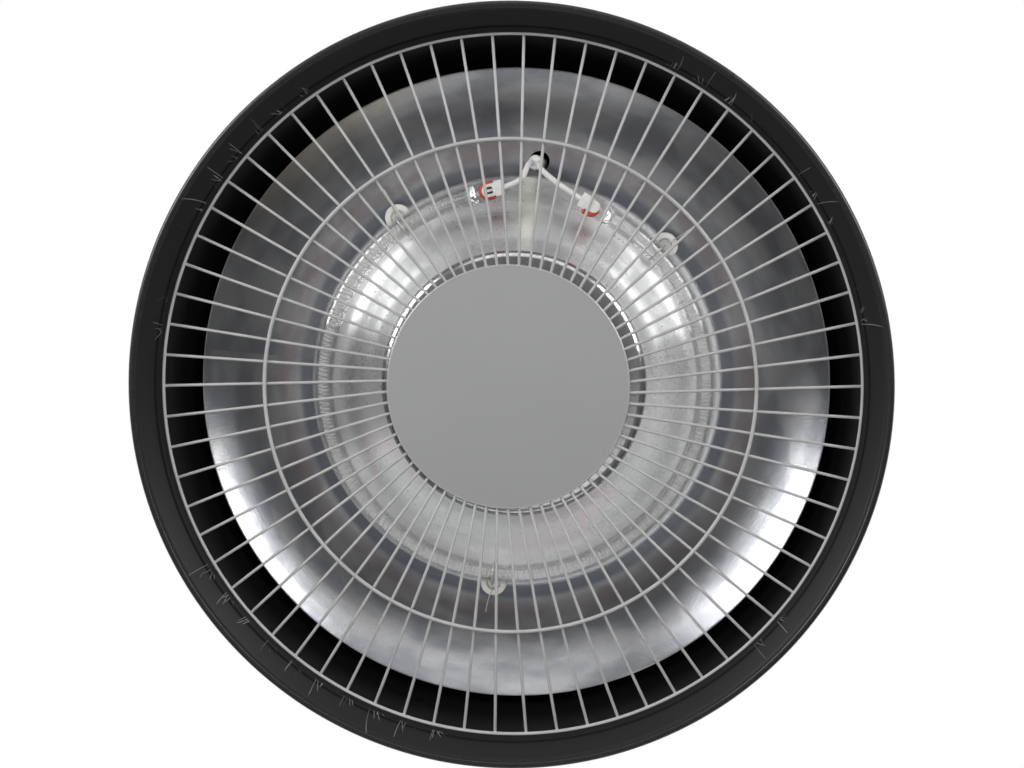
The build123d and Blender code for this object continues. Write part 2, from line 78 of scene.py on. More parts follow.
def degrees(name, value, about):
    """An angle, given in degrees and kept in radians."""
    return number(name, radians(value), about, subtype="ANGLE")


def how_many(name, value, about, least=3):
    return IntProperty(name=name, description=about, default=value, min=least)


def colour(name, value, about):
    """A linear colour."""
    kind = {"min": 0, "max": 1, "size": 3, "subtype": "COLOR"}
    return FloatVectorProperty(name=name, description=about, default=value, **kind)


class HEATER_PG_shade(bpy.types.PropertyGroup):
    """Sizes and finish of the spun shade, its collar and its cap."""

    rim_radius: length("Rim radius", 0.2125, "Outer radius of the rolled rim")
    rim_height: length("Rim height", 0.004, "Height of the rolled rim")
    rim_width: length("Rim width", 0.0042, "Width of the rolled rim")
    groove_radius: length("Groove radius", 0.1979, "Radius of the groove that the guard snaps into")
    groove_height: length("Groove height", 0.0165, "Height of the groove's middle")
    wall_radius: length("Wall radius", 0.188, "Radius where the wall turns into the roof")
    wall_height: length("Wall height", 0.05, "Height where the wall turns into the roof")
    bend: length("Bend", 0.036, "Radius of the bend between wall and roof")
    shoulder_radius: length("Shoulder radius", 0.066, "Radius of the flat shoulder")
    shoulder_height: length("Shoulder height", 0.14, "Height of the flat shoulder's inner face")
    neck_radius: length("Neck radius", 0.05, "Radius of the opening in the shoulder")
    sheet: length("Sheet", 0.0012, "Thickness of the steel sheet")
    enamel: colour("Enamel", (0.0122, 0.0124, 0.0134), "Satin black enamel")
    scratch: colour("Scratches", (0.3, 0.3, 0.29), "Bared ground coat in the scratches")


class HEATER_PG_reflector(bpy.types.PropertyGroup):
    """Sizes and finish of the spun reflector."""

    rim_radius: length("Rim radius", 0.1786, "Radius of the dish's lower edge")
    rim_height: length("Rim height", 0.0453, "Height of the dish's lower edge")
    flange: length("Flange", 0.0004, "Width of the flat edge round the dish")
    valley_height: length("Valley height", 0.066, "Height of the flat behind the lamp")
    valley_outer: length("Valley outer radius", 0.115, "Outer radius of the flat behind the lamp")
    valley_inner: length("Valley inner radius", 0.104, "Inner radius of the flat behind the lamp")
    boss_radius: length("Boss radius", 0.073, "Radius of the boss's flat face")
    boss_height: length("Boss height", 0.044, "Height of the boss's flat face")
    sheet: length("Sheet", 0.0008, "Thickness of the aluminium sheet")
    hole_circle: length("Lead hole circle", 0.1275, "Distance of the lead hole from the axis")
    hole_radius: length("Lead hole radius", 0.006, "Radius of the lead hole")
    aluminium: colour("Aluminium", (0.88, 0.885, 0.89), "Polished aluminium of the boss")
    # The dish's darker colour is painted shade: it is the same aluminium as the boss, darkened where it
    # mirrors less light.
    dish: colour("Dish", (0.6, 0.605, 0.62), "Duller aluminium of the dish")


class HEATER_PG_guard(bpy.types.PropertyGroup):
    """Sizes and finish of the welded wire guard."""

    radius: length("Radius", 0.1959, "Radius of the outer ring's centre line")
    height: length("Height", 0.0165, "Height of the outer ring's centre line")
    ring_wire: length("Ring wire", 0.0022, "Diameter of both rings' wire")
    middle_radius: length("Middle ring radius", 0.1375, "Radius of the middle ring's centre line")
    spoke_wire: length("Spoke wire", 0.0017, "Diameter of the spokes' wire")
    spoke_count: how_many("Spokes", 70, "How many spokes")
    spoke_offset: length("Spoke offset", 0.005, "How far the spokes pass from the axis")
    spoke_outer: length("Spoke outer end", 0.1963, "Distance of the spokes' outer ends")
    drop: length("Drop", 0.009, "How far the guard's middle hangs below its rim")
    plate_radius: length("Plate radius", 0.068, "Radius of the plate in the middle")
    plate_sheet: length("Plate sheet", 0.001, "Thickness of the plate in the middle")
    wire: colour("Wire", (0.45, 0.45, 0.445), "Silver paint on the wires")
    plate: colour("Plate", (0.284, 0.286, 0.286), "Grey enamel on the plate")


class HEATER_PG_lamp(bpy.types.PropertyGroup):
    """Sizes and finish of the ring lamp, its ends, its posts and its leads."""

    radius: length("Radius", 0.1095, "Radius of the lamp's centre line")
    height: length("Height", 0.046, "Height of the lamp's centre line")
    turn: degrees("Turn", 2.5, "Turn of the gap from -Y")
    half_gap: degrees("Half gap", 22.85, "Half the gap between the ends")
    tube: length("Tube", 0.0115, "Outer diameter of the quartz tube")
    tube_wall: length("Tube wall", 0.0011, "Wall of the quartz tube")
    end_wall: length("End wall", 0.0015, "Straight glass between the bore and the pinch")
    seal_taper: length("Seal taper", 0.005, "Length over which the tube is pinched flat")
    seal_length: length("Seal length", 0.014, "Whole length of the pinched end")
    seal_width: length("Seal width", 0.012, "Width of the flat seal")
    seal_thickness: length("Seal thickness", 0.0032, "Thickness of the flat seal")
    coil: length("Coil", 0.0064, "Outer diameter of the heating coil")
    coil_wire: length("Coil wire", 0.00066, "Diameter of the coil's wire")
    coil_turns: how_many("Coil turns", 262, "How many turns the coil has", 10)
    post: length("Post", 0.015, "Diameter of the ceramic posts")
    post_well: length("Post well", 0.0084, "Diameter of the hollow in each post")
    post_length: length("Post length", 0.011, "Length of the ceramic posts below the reflector")
    clip_wire: length("Clip wire", 0.001, "Diameter of the spring wires")
    lead: length("Lead", 0.0033, "Diameter of the sleeved leads")
    silicone: colour("Silicone", (0.62, 0.075, 0.03), "Orange red silicone")
    ceramic: colour("Ceramic", (0.8, 0.79, 0.76), "White ceramic")


class HEATER_PG_fittings(bpy.types.PropertyGroup):
    """Sizes and finish of the eye bolt, the hanging ring and the cable gland."""

    foot_radius: length("Foot radius", 0.009, "Radius of the eye bolt's foot")
    foot_height: length("Foot height", 0.003, "Height of the eye bolt's foot")
    eye_radius: length("Eye radius", 0.0115, "Radius of the eye's centre line")
    ring_radius: length("Ring radius", 0.024, "Radius of the hanging ring's centre line")
    wire: length("Wire", 0.007, "Diameter of the eye's and the ring's wire")
    zinc: colour("Zinc", (0.6, 0.61, 0.63), "Bright zinc plating")
    nylon: colour("Nylon", (0.09, 0.092, 0.095), "Dark grey nylon")


class HEATER_PG_stage(bpy.types.PropertyGroup):
    """Camera, floor and lights."""

    camera_drop: length("Camera drop", 1.4, "How far the camera is below the rim")
    camera_right: length("Camera right", 0.12, "How far the camera stands to the picture's right of the axis")
    camera_up: length("Camera up", 0.075, "How far the camera stands above the axis in the picture")
    lens: number("Lens", 89.65, "Focal length in millimetres", unit="CAMERA")
    floor_drop: length("Floor drop", 2.6, "How far the floor is below the rim")
    side_light: number("Side light", 14.0, "Power of each side light in watts")
    fill_light: number("Fill light", 17.0, "Power of the light below in watts")
    top_light: number("Top light", 10.0, "Power of the light above in watts")
    floor: colour("Floor", (0.8, 0.8, 0.8), "Pale floor")


class HEATER_PG_settings(bpy.types.PropertyGroup):
    """All the heater's settings."""

    shade: PointerProperty(type=HEATER_PG_shade)
    reflector: PointerProperty(type=HEATER_PG_reflector)
    guard: PointerProperty(type=HEATER_PG_guard)
    lamp: PointerProperty(type=HEATER_PG_lamp)
    fittings: PointerProperty(type=HEATER_PG_fittings)
    stage: PointerProperty(type=HEATER_PG_stage)


# Nodes


def plug(tree, value, socket):
    """Links a signal to a socket, or sets the socket to a number, a colour or a vector."""
    if isinstance(value, Signal):
        tree.links.new(value.socket, socket)
    elif hasattr(value, "__len__") and len(value) == 3 and socket.type == "RGBA":
        socket.default_value = (*value, 1)
    else:
        socket.default_value = value


class Signal:
    """An output socket. Arithmetic on it adds Math nodes."""

    def __init__(self, tree, socket):
        self.tree = tree
        self.socket = socket

    def worked_out(self, operation, *values):
        """The result of a Math node over some values."""
        node = self.tree.nodes.new("ShaderNodeMath")
        node.operation = operation
        for value, socket in zip(values, node.inputs):
            plug(self.tree, value, socket)
        return Signal(self.tree, node.outputs[0])

    def math(self, operation, *others):
        return self.worked_out(operation, self, *others)

    def __add__(self, other):
        return self.math("ADD", other)

    __radd__ = __add__

    def __sub__(self, other):
        return self.math("SUBTRACT", other)

    def __rsub__(self, other):
        return self.worked_out("SUBTRACT", other, self)

    def __mul__(self, other):
        return self.math("MULTIPLY", other)

    __rmul__ = __mul__

    def __truediv__(self, other):
        return self.math("DIVIDE", other)

    def ramp(self, low, high):
        """0 below low and 1 above high, smooth between; or the other way round where low is the larger."""
        node = self.tree.nodes.new("ShaderNodeMapRange")
        node.interpolation_type = "SMOOTHSTEP"
        rising = low < high
        sockets = {"Value": self, "From Min": min(low, high), "From Max": max(low, high)}
        sockets.update({"To Min": 0 if rising else 1, "To Max": 1 if rising else 0})
        for name, value in sockets.items():
            plug(self.tree, value, node.inputs[name])
        return Signal(self.tree, node.outputs[0])

    def band(self, middle, half, soft):
        """1 within half of the middle, falling to 0 over soft on both sides."""
        return (self - middle).math("ABSOLUTE").ramp(half + soft, half)


class Finish:
    """A material in the making, with constants set on the shader's own sockets."""

    def __init__(self, name, **constants):
        self.material = bpy.data.materials.new(name)
        self.material.use_nodes = True
        self.tree = self.material.node_tree
        self.shader = self.tree.nodes["Principled BSDF"]
        for socket, value in constants.items():
            self.feed(socket.replace("_", " "), value)

    def feed(self, socket, value):
        plug(self.tree, value, self.shader.inputs[socket])

    def node(self, kind, settings, inputs, output=0):
        """Adds a node of a kind: its settings first, then its sockets."""
        node = self.tree.nodes.new(kind)
        for name, value in settings.items():
            setattr(node, name, value)
        for name, value in inputs.items():
            plug(self.tree, value, node.inputs[name])
        return Signal(self.tree, node.outputs[output])

    def point(self):
        return self.node("ShaderNodeTexCoord", {}, {}, "Object")

    def axes(self, vector):
        node = self.tree.nodes.new("ShaderNodeSeparateXYZ")
        plug(self.tree, vector, node.inputs[0])
        return [Signal(self.tree, socket) for socket in node.outputs]

    def vector(self, x, y, z):
        return self.node("ShaderNodeCombineXYZ", {}, {"X": x, "Y": y, "Z": z})

    def noise(self, vector, scale, detail=2.0, rough=0.5):
        sockets = {"Vector": vector, "Scale": scale, "Detail": detail, "Roughness": rough}
        return self.node("ShaderNodeTexNoise", {}, sockets)

    def mix(self, factor, first, second):
        """The first colour at 0 and the second at 1."""
        return self.node("ShaderNodeMix", {"data_type": "RGBA"}, {0: factor, 6: first, 7: second}, 2)

    def bump(self, height, strength, distance):
        sockets = {"Strength": strength, "Distance": distance, "Height": height}
        self.feed("Normal", self.node("ShaderNodeBump", {}, sockets))


def blended(tree, factor, first, second, output):
    """Gives an output node a blend of two shaders: the first at 0 and the second at 1."""
    both = tree.nodes.new("ShaderNodeMixShader")
    plug(tree, factor, both.inputs[0])
    tree.links.new(first.outputs[0], both.inputs[1])
    tree.links.new(second.outputs[0], both.inputs[2])
    tree.links.new(both.outputs[0], tree.nodes[output].inputs["Surface"])


# Finishes


# How far clockwise of +X the first spoke's outer end lies, in radians
FIRST_SPOKE = 1.5453
# Each kind of scratch: its shift along the brim in spokes, its lean, its reach and its seed
SCRATCH_FAN = (
    (0.0, 0.3, 1.0, 5.0),
    (0.07, -0.9, 0.55, 17.0),
    (0.15, -1.5, 0.45, 31.0),
    (0.22, -1.7, 0.4, 43.0),
    (0.3, -2.2, 0.35, 59.0),
)
# The stretches of the brim that are scratched: their middles and half their widths, in radians
SCRATCHED_STRETCHES = (
    (-0.32, 0.05),
    (-0.68, 0.1),
    (-1.05, 0.16),
    (-2.53, 0.24),
    (2.08, 0.42),
    (0.66, 0.07),
    (-3.07, 0.05),
)


def hair_strokes(skin, turned, along, lean, reach, seed):
    """Thin curved strokes that run outwards from the guard's ring, one at each spoke's end."""
    step = (turned + 0.5).math("FLOOR")
    chance = skin.node("ShaderNodeTexWhiteNoise", {"noise_dimensions": "1D"}, {"W": step + seed}, "Color")
    shift, tilt, bend = skin.axes(chance)
    centre = (shift - 0.5) * 0.16 + along * ((tilt - 0.35) * lean) + along * along * ((bend - 0.5) * 0.5)
    stroke = (turned - step - centre).math("ABSOLUTE").ramp(0.013, 0.005)
    end = (shift * 0.7 + 0.3) * reach
    return stroke * (end - along).ramp(0.0, 0.12) * along.ramp(-0.02, 0.02)


def polar_axes(skin, point):
    """The axes of a point, its distance from the heater's axis and its angle about that."""
    x, y, z = skin.axes(point)
    return x, y, z, (x * x + y * y).math("SQRT"), y.math("ARCTAN2", x)


def black_enamel(shade, guard):
    """Satin enamel with a fine orange peel, hair scratches on the brim where the guard was snapped in, and
    painted shade inside the shade.
    """
    skin = Finish("black enamel", Specular_IOR_Level=0.22, Coat_Roughness=0.35)
    point = skin.point()
    x, y, z, radius, angle = polar_axes(skin, point)
    turned = (angle + FIRST_SPOKE) * (guard.spoke_count / tau)
    along = (radius - shade.groove_radius) * 80.0
    hairs = 0
    for shift, lean, reach, seed in SCRATCH_FAN:
        hairs = hair_strokes(skin, turned + shift, along, lean, reach, seed) + hairs
    windows = 0
    for middle, half in SCRATCHED_STRETCHES:
        windows = angle.band(middle, half, 0.03) + windows
    patches = skin.noise(skin.vector(angle * 0.2, 0.0, 0.3), 110.0, 1.0).ramp(0.42, 0.55)
    facing = skin.node("ShaderNodeNewGeometry", {}, {}, "Normal")
    out_x, out_y, up = skin.axes(facing)
    inner_side = ((out_x * x + out_y * y) / radius + up).ramp(0.1, -0.1)
    brim = radius.ramp(0.2094, 0.2088) * z.ramp(0.016, 0.0145)
    marks = (hairs * windows * patches * inner_side * brim).math("MINIMUM", 1.0) * 0.75
    cloud = skin.noise(point, 26.0, 4.0, 0.6)
    # Painted shade: deep picks the inside of the shade higher up. It is darkened, and made metallic so that
    # it shows no lit colour.
    deep = z.ramp(0.02, 0.045) * inner_side
    # Painted shadow: a dark, rougher band on the brim's inner face just outside the guard's ring.
    gap = radius.band(0.1992, 0.0003, 0.0005) * z.ramp(0.016, 0.0145)
    # thin is painted shade, not a thinner coat: it darkens the enamel towards near black higher up the
    # inside, deeper in, and in the gap by the guard's ring.
    thin = (z.ramp(0.006, 0.0155) * 0.45 + deep * 0.2 + gap * 0.6) * inner_side
    rim = radius.ramp(0.2078, 0.2084)
    paint = skin.mix(thin, shade.enamel, (0.0002, 0.0002, 0.0002))
    skin.feed("Base Color", skin.mix(marks, paint, shade.scratch))
    # Painted shade: deep makes the inside metallic, so it stays black under the lamps.
    skin.feed("Metallic", deep * 0.7)
    skin.feed("Roughness", 0.42 + cloud * 0.12 + marks * 0.15 + deep * 0.2 - rim * 0.2 + gap * 0.4)
    skin.feed("Coat Weight", 0.05 - marks * 0.05 - deep * 0.05 + rim * 0.7)
    peel = skin.noise(point, 900.0)
    skin.bump(peel * 0.5 + cloud * 0.35, 0.12, 0.0006)
    return skin.material


def polished_aluminium(reflector):
    """Spun and polished sheet: fine rings from the tool, a hazy boss, a grained dish and a brown patch on one
    side of it, with painted light and shade: a darker dish, darker sides and rings, whiter lit sides and
    painted reflections.
    """
    skin = Finish("polished aluminium", Anisotropic=0.5, Anisotropic_Rotation=0.25)
    point = skin.point()
    x, y, z, radius, angle = polar_axes(skin, point)

    def toward(along_x, along_y, low, high):
        """1 on the side that a direction points to, from high on, and 0 below low."""
        return ((x * along_x + y * along_y) / radius).ramp(low, high)

    cloud = skin.noise(point, 26.0)
    arcs = skin.noise(skin.vector(angle * 0.5, radius * 8.0, 0.0), 40.0, 3.0, 0.55)
    grain = skin.noise(skin.vector(radius * 2200.0, x * 14.0, y * 14.0), 1.0, 3.0, 0.6)
    specks = skin.noise(point, 1050.0, 3.0, 0.7)
    rings = skin.noise(skin.vector(radius * 330.0, 0.0, 0.0), 1.0)
    dish = radius.ramp(0.1165, 0.1195)
    cone = radius.ramp(0.0752, 0.0762) * radius.ramp(0.1195, 0.1165)
    valley = radius.band(0.1095, 0.005, 0.003)
    lower = toward(0.11, 0.994, -0.3, 0.5)
    # Painted reflection: a pale stripe from the lead hole towards the middle, where the leads are mirrored.
    painted_lead_reflection = (x - y * 0.11 - 0.0072).math("ABSOLUTE").ramp(0.0068, 0.0008) * y.ramp(-0.066, -0.074)
    # sides picks the two sides that face the side lights, where highlights are painted.
    sides = toward(-0.916, -0.402, 0.68, 0.96) + toward(0.751, -0.66, 0.68, 0.96)
    # The crown mask and the left mask pick the boss's -Y side and -X side, which are painted darker as shade.
    painted_shade_crown = toward(-0.11, -0.994, 0.86, 0.97)
    left = toward(-0.994, 0.11, 0.88, 0.98)
    corner = toward(0.78, 0.625, 0.92, 0.99)
    # Painted shade: a dark ring on the boss, made by making it more mirror-like there.
    painted_dark_band = radius.band(0.0965, 0.001, 0.005)
    patches = skin.noise(skin.vector(angle * 1.5, radius * 22.0, 0.0), 2.4).ramp(0.4, 0.62)
    brown = (x * -0.72 - y * 0.69).ramp(0.155, 0.175) * radius.ramp(0.15, 0.17)
    sheen = skin.noise(skin.vector(angle * 1.3, radius * 40.0, 0.0), 1.0, 1.0, 0.5)
    painted_pastel_reflection = skin.mix(sheen.ramp(0.4, 0.6), (0.84, 0.9, 0.86), (0.92, 0.82, 0.88))
    dull = (cloud * 0.45 + arcs * 0.55).ramp(0.3, 0.7)
    tint = reflector.aluminium
    for share, other in (
        # Painted shade: the dish takes the darker dish colour.
        (dish, reflector.dish),
        (dish * patches * 0.75, (0.33, 0.34, 0.38)),
        # Painted shade: two darker rings on the dish just outside the lamp, a pinkish one further out and a
        # bluish one that is strongest on the +Y side.
        (radius.band(0.1335, 0.002, 0.006) * (0.35 + patches * 0.35), (0.42, 0.34, 0.335)),
        (radius.band(0.1215, 0.002, 0.004) * (lower * 0.35 + 0.6), (0.2, 0.215, 0.26)),
        (brown * 0.6, (0.44, 0.38, 0.27)),
        # Painted reflection: a faint pink and green tint on the +Y side of the boss.
        (radius.band(0.087, 0.009, 0.004) * y.ramp(-0.02, 0.04) * 0.7, painted_pastel_reflection),
        # Painted highlight: the flat behind the lamp is whiter on the two sides that face the side lights.
        (valley * sides, (0.97, 0.97, 0.97)),
        # Painted shade: the boss is darker grey on its -Y and -X sides.
        ((painted_shade_crown * 0.75 + left * 0.95) * cone, (0.46, 0.46, 0.47)),
        # Painted shade: the dish is darkened on its +X +Y side, where it mirrors a light.
        (corner * dish * 0.4, (0.36, 0.37, 0.39)),
        (painted_lead_reflection * cone * 0.65, (0.9, 0.87, 0.8)),
        (dull * 0.14 + specks.ramp(0.5, 0.8) * (dish * 0.3 + 0.03), (0.36, 0.37, 0.39)),
    ):
        tint = skin.mix(share, tint, other)
    skin.feed("Base Color", tint)
    # The boss is hazy all over, and the haze is also varied by side and in a ring to paint light and shade:
    # more diffuse white where it is painted lighter, more mirror where it is painted darker.
    haze_and_painted_light = 0.66 + lower * 0.2 - sides * 0.14 - painted_shade_crown * 0.08 - painted_dark_band * (0.1 + painted_shade_crown * 0.14) + painted_lead_reflection * 0.12
    haze_and_painted_light = haze_and_painted_light + valley * (sides * 0.7 + lower * 0.3 - 0.22)
    skin.feed("Metallic", 1.0 - cone * haze_and_painted_light.math("MINIMUM", 0.97) - dish * 0.02)
    worn = dull * 0.07 + specks * dish * 0.1 + grain * 0.03
    skin.feed("Roughness", 0.15 + cone * 0.09 - dish * 0.06 + worn)
    skin.bump(grain * 0.3 + rings * 0.4 + specks * (0.01 + dish) + cloud * 0.3, 0.2, 0.0006)
    return skin.material


def guard_wire(guard):
    """Silver paint over drawn wire: a fine metallic grain and a slightly uneven coat."""
    skin = Finish("guard wire", Metallic=0.12)
    point = skin.point()
    cloud = skin.noise(point, 70.0, 3.0, 0.6)
    grain = skin.noise(point, 1500.0, 2.0, 0.6)
    skin.feed("Base Color", skin.mix(cloud.ramp(0.3, 0.8), guard.wire, [c * 0.82 for c in guard.wire]))
    skin.feed("Roughness", 0.38 + grain * 0.16)
    skin.bump(grain, 0.1, 0.0002)
    return skin.material


def plate_enamel(guard):
    """Flat grey enamel with a thin bare edge."""
    skin = Finish("plate enamel", Specular_IOR_Level=0.25)
    point = skin.point()
    edge = polar_axes(skin, point)[3].ramp(guard.plate_radius - 0.0011, guard.plate_radius - 0.0006)
    grain = skin.noise(point, 1800.0, 2.0, 0.55)
    cloud = skin.noise(point, 18.0, 3.0, 0.5)
    paint = skin.mix(cloud.ramp(0.3, 0.7) * 0.1, guard.plate, [c * 1.15 for c in guard.plate])
    skin.feed("Base Color", skin.mix(edge, paint, (0.66, 0.66, 0.65)))
    skin.feed("Metallic", edge * 0.8)
    skin.feed("Roughness", 0.56 + grain * 0.14 - edge * 0.3)
    skin.bump(grain, 0.12, 0.00015)
    return skin.material


def zinc_steel(fittings):
    """Bright zinc plating with its faint crystal pattern."""
    skin = Finish("zinc steel", Metallic=1.0)
    point = skin.point()
    cells = skin.node("ShaderNodeTexVoronoi", {}, {"Vector": point, "Scale": 420.0}, "Distance")
    cloud = skin.noise(point, 90.0, 4.0, 0.6)
    skin.feed("Base Color", skin.mix(cloud.ramp(0.35, 0.75) * 0.6, fittings.zinc, (0.5, 0.5, 0.47)))
    skin.feed("Roughness", 0.2 + cells * 0.12 + cloud * 0.14)
    skin.bump(cloud + cells * 0.3, 0.1, 0.0003)
    return skin.material


def quartz():
    """Clear thin-walled quartz: it mirrors most where it turns away, and lets the light through elsewhere."""
    skin = Finish("quartz", Base_Color=(0.97, 0.98, 0.98), Metallic=1.0, Roughness=0.03)
    point = skin.point()
    pinch = polar_axes(skin, point)[4].band(-1.527, 0.36, 0.05)
    sheen = skin.node("ShaderNodeFresnel", {}, {"IOR": 1.6})
    skin.feed("Alpha", (sheen * 0.9).math("MINIMUM", 0.5) + pinch * 0.2)
    waves = skin.noise(point, 240.0) * (0.15 + pinch * 2.0)
    skin.bump(waves, 0.4, 0.0004)
    return skin.material


def coil_wire():
    """Resistance wire, pale where it has been drawn and darker where it has run hot."""
    skin = Finish("coil wire")
    cloud = skin.noise(skin.point(), 150.0, 3.0, 0.6)
    skin.feed("Base Color", skin.mix(cloud.ramp(0.5, 0.8), (0.98, 0.975, 0.96), (0.66, 0.65, 0.63)))
    skin.feed("Metallic", 0.1 + cloud * 0.15)
    skin.feed("Roughness", 0.28 + cloud * 0.2)
    return skin.material


def white_ceramic(lamp):
    """Steatite: off white, matt, with a fine grain and a few grey specks."""
    skin = Finish("white ceramic", Subsurface_Weight=0.12, Subsurface_Scale=0.002)
    point = skin.point()
    grain = skin.noise(point, 1100.0, 3.0, 0.6)
    specks = skin.noise(point, 620.0).ramp(0.68, 0.74)
    skin.feed("Base Color", skin.mix(specks * 0.35, lamp.ceramic, (0.5, 0.48, 0.44)))
    skin.feed("Roughness", 0.34 + grain * 0.22)
    skin.bump(grain, 0.16, 0.0002)
    return skin.material


def lead_sheath():
    """Braided white glass fibre: two sets of fine strands that cross."""
    skin = Finish("lead sheath", Sheen_Weight=0.15)
    x, y, z = skin.axes(skin.point())
    first = ((x + y + z) * 5200.0).math("SINE")
    second = ((x - y - z * 0.6) * 5200.0).math("SINE")
    weave = (first * second) * 0.5 + 0.5
    skin.feed("Base Color", skin.mix(weave, (0.74, 0.73, 0.7), (0.9, 0.89, 0.86)))
    skin.feed("Roughness", 0.72 - weave * 0.16)
    skin.bump(weave, 0.35, 0.00025)
    return skin.material


def grained(name, first, second, share, noise, gloss, bump, **constants):
    """A finish with one noise in it, which mixes two colours and changes the roughness and the height.

    share is where the second colour begins and ends in the noise, and how much of it there is at most;
    noise is its scale, detail and roughness; gloss is the least roughness and how much the noise adds.
    """
    skin = Finish(name, **constants)
    grain = skin.noise(skin.point(), *noise)
    low, high, most = share
    skin.feed("Base Color", skin.mix(grain.ramp(low, high) * most, first, second))
    skin.feed("Roughness", grain * gloss[1] + gloss[0])
    skin.bump(grain, *bump)
    return skin.material


def silicone(lamp):
    """Cured silicone with the small waves that a nozzle leaves."""
    colours = lamp.silicone, [c * 0.72 for c in lamp.silicone]
    soft = {"Subsurface_Weight": 0.1, "Subsurface_Scale": 0.001}
    return grained(
        "orange silicone", *colours, (0.4, 0.7, 0.5), (520.0, 3.0, 0.55), (0.3, 0.2), (0.5, 0.0004), **soft
    )


def spring_steel():
    """Bright stainless spring wire."""
    skin = Finish("spring steel", Base_Color=(0.72, 0.72, 0.7), Metallic=0.55)
    grain = skin.noise(skin.point(), 1600.0, 2.0, 0.6)
    skin.feed("Roughness", 0.18 + grain * 0.16)
    skin.bump(grain, 0.1, 0.0001)
    return skin.material


def grey_nylon(fittings):
    """Moulded nylon with a fine spark texture."""
    colours = fittings.nylon, [c * 1.3 for c in fittings.nylon]
    return grained("grey nylon", *colours, (0.3, 0.8, 1), (1700.0, 3.0, 0.6), (0.42, 0.2), (0.25, 0.0002))


def black_rubber():
    """Soft rubber with a dry bloom."""
    colours = (0.016, 0.016, 0.016), (0.045, 0.045, 0.045)
    return grained("black rubber", *colours, (0.4, 0.8, 1), (300.0, 4.0, 0.6), (0.6, 0.25), (0.2, 0.0002))


def block_plastic():
    """Moulded plastic of the terminal block, ivory and slightly glossy."""
    colours = (0.7, 0.68, 0.62), (0.62, 0.6, 0.54)
    return grained("block plastic", *colours, (0.3, 0.8, 1), (1300.0, 2.0, 0.5), (0.34, 0.16), (0.15, 0.0002))


finishes = {}


def finish_for(slot):
    """The material for a slot name, made when it is first asked for."""
    settings = bpy.context.scene.heater
    makers = {
        "black_enamel": (black_enamel, settings.shade, settings.guard),
        "cap_enamel": (black_enamel, settings.shade, settings.guard),
        "polished_aluminium": (polished_aluminium, settings.reflector),
        "guard_wire": (guard_wire, settings.guard),
        "plate_enamel": (plate_enamel, settings.guard),
        "zinc_steel": (zinc_steel, settings.fittings),
        "quartz": (quartz,),
        "tungsten": (coil_wire,),
        "white_ceramic": (white_ceramic, settings.lamp),
        "orange_silicone": (silicone, settings.lamp),
        "spring_steel": (spring_steel,),
        "lead_sheath": (lead_sheath,),
        "grey_nylon": (grey_nylon, settings.fittings),
        "black_rubber": (black_rubber,),
        "block_plastic": (block_plastic,),
    }
    if slot not in finishes:
        maker, *groups = makers[slot]
        finishes[slot] = maker(*groups)
    return finishes[slot]


# Shapes


def place(bm, verts, matrix):
    bmesh.ops.transform(bm, matrix=matrix, verts=verts)


def outward(bm):
    """Turns every face of a bmesh outwards."""
    bmesh.ops.recalc_face_normals(bm, faces=bm.faces)
    return bm


def edges_of(verts):
    return list({edge for vertex in verts for edge in vertex.link_edges})


def end_edges(verts):
    """The edges round the two many-sided ends of a round bar."""
    return [edge for edge in edges_of(verts) if any(len(face.verts) > 4 for face in edge.link_faces)]


def rounded(bm, geom, offset, segments, affect="EDGES"):
    """Rounds some edges, or some corners of a drawn line."""
    bmesh.ops.bevel(bm, geom=geom, offset=offset, segments=segments, profile=0.5, material=-1, affect=affect)


def verts_in(geom):
    return [part for part in geom if isinstance(part, bmesh.types.BMVert)]


def swept(bm, geom, angle, steps, centre=(0, 0, 0), axis=Z_AXIS, **options):
    """Spins geometry about an axis, and gives the vertices that it ends with."""
    made = bmesh.ops.spin(bm, geom=geom, cent=centre, axis=axis, angle=angle, steps=steps, **options)
    return verts_in(made["geom_last"])


def mesh_from(name, bm):
    """A mesh of what a bmesh holds, which is then freed."""
    mesh = bpy.data.meshes.new(name)
    bm.to_mesh(mesh)
    bm.free()
    return mesh


def join(bm, other):
    """Adds what another bmesh holds to a bmesh, and frees the other."""
    spare = mesh_from("spare", other)
    bm.from_mesh(spare)
    bpy.data.meshes.remove(spare)


def in_scene(name, data):
    """A new object in the scene."""
    made = bpy.data.objects.new(name, data)
    bpy.context.scene.collection.objects.link(made)
    return made


class Line:
    """A line in the XZ plane that is drawn point by point, rounded, and spun about the heater's axis."""

    def __init__(self, x, z):
        self.bm = bmesh.new()
        self.last = self.bm.verts.new((x, 0, z))
        self.bends = []

    def to(self, x, z, bend=0.0, segments=5):
        """Adds a straight run. The bend is how far back from its end the corner there is rounded."""
        vertex = self.bm.verts.new((x, 0, z))
        self.bm.edges.new((self.last, vertex))
        self.last = vertex
        if bend:
            self.bends.append((vertex, bend, segments))

    def through(self, *runs):
        """Adds some straight runs, each of them written as for to()."""
        for run in runs:
            self.to(*run)
        return self

    def arc(self, x, z, angle, steps):
        """Adds an arc about a centre, turning from Z towards X where the angle is positive."""
        self.last = swept(self.bm, [self.last], angle, steps, (x, 0, z), (0, 1, 0))[0]

    def spun(self, steps=TURN_STEPS):
        """The surface of the line, with its corners rounded, turned fully about the Z axis."""
        for vertex, bend, segments in self.bends:
            rounded(self.bm, [vertex], bend, segments, "VERTICES")
        swept(self.bm, self.bm.verts[:] + self.bm.edges[:], tau, steps, use_merge=True)
        bmesh.ops.remove_doubles(self.bm, verts=self.bm.verts, dist=1e-6)
        return outward(self.bm)


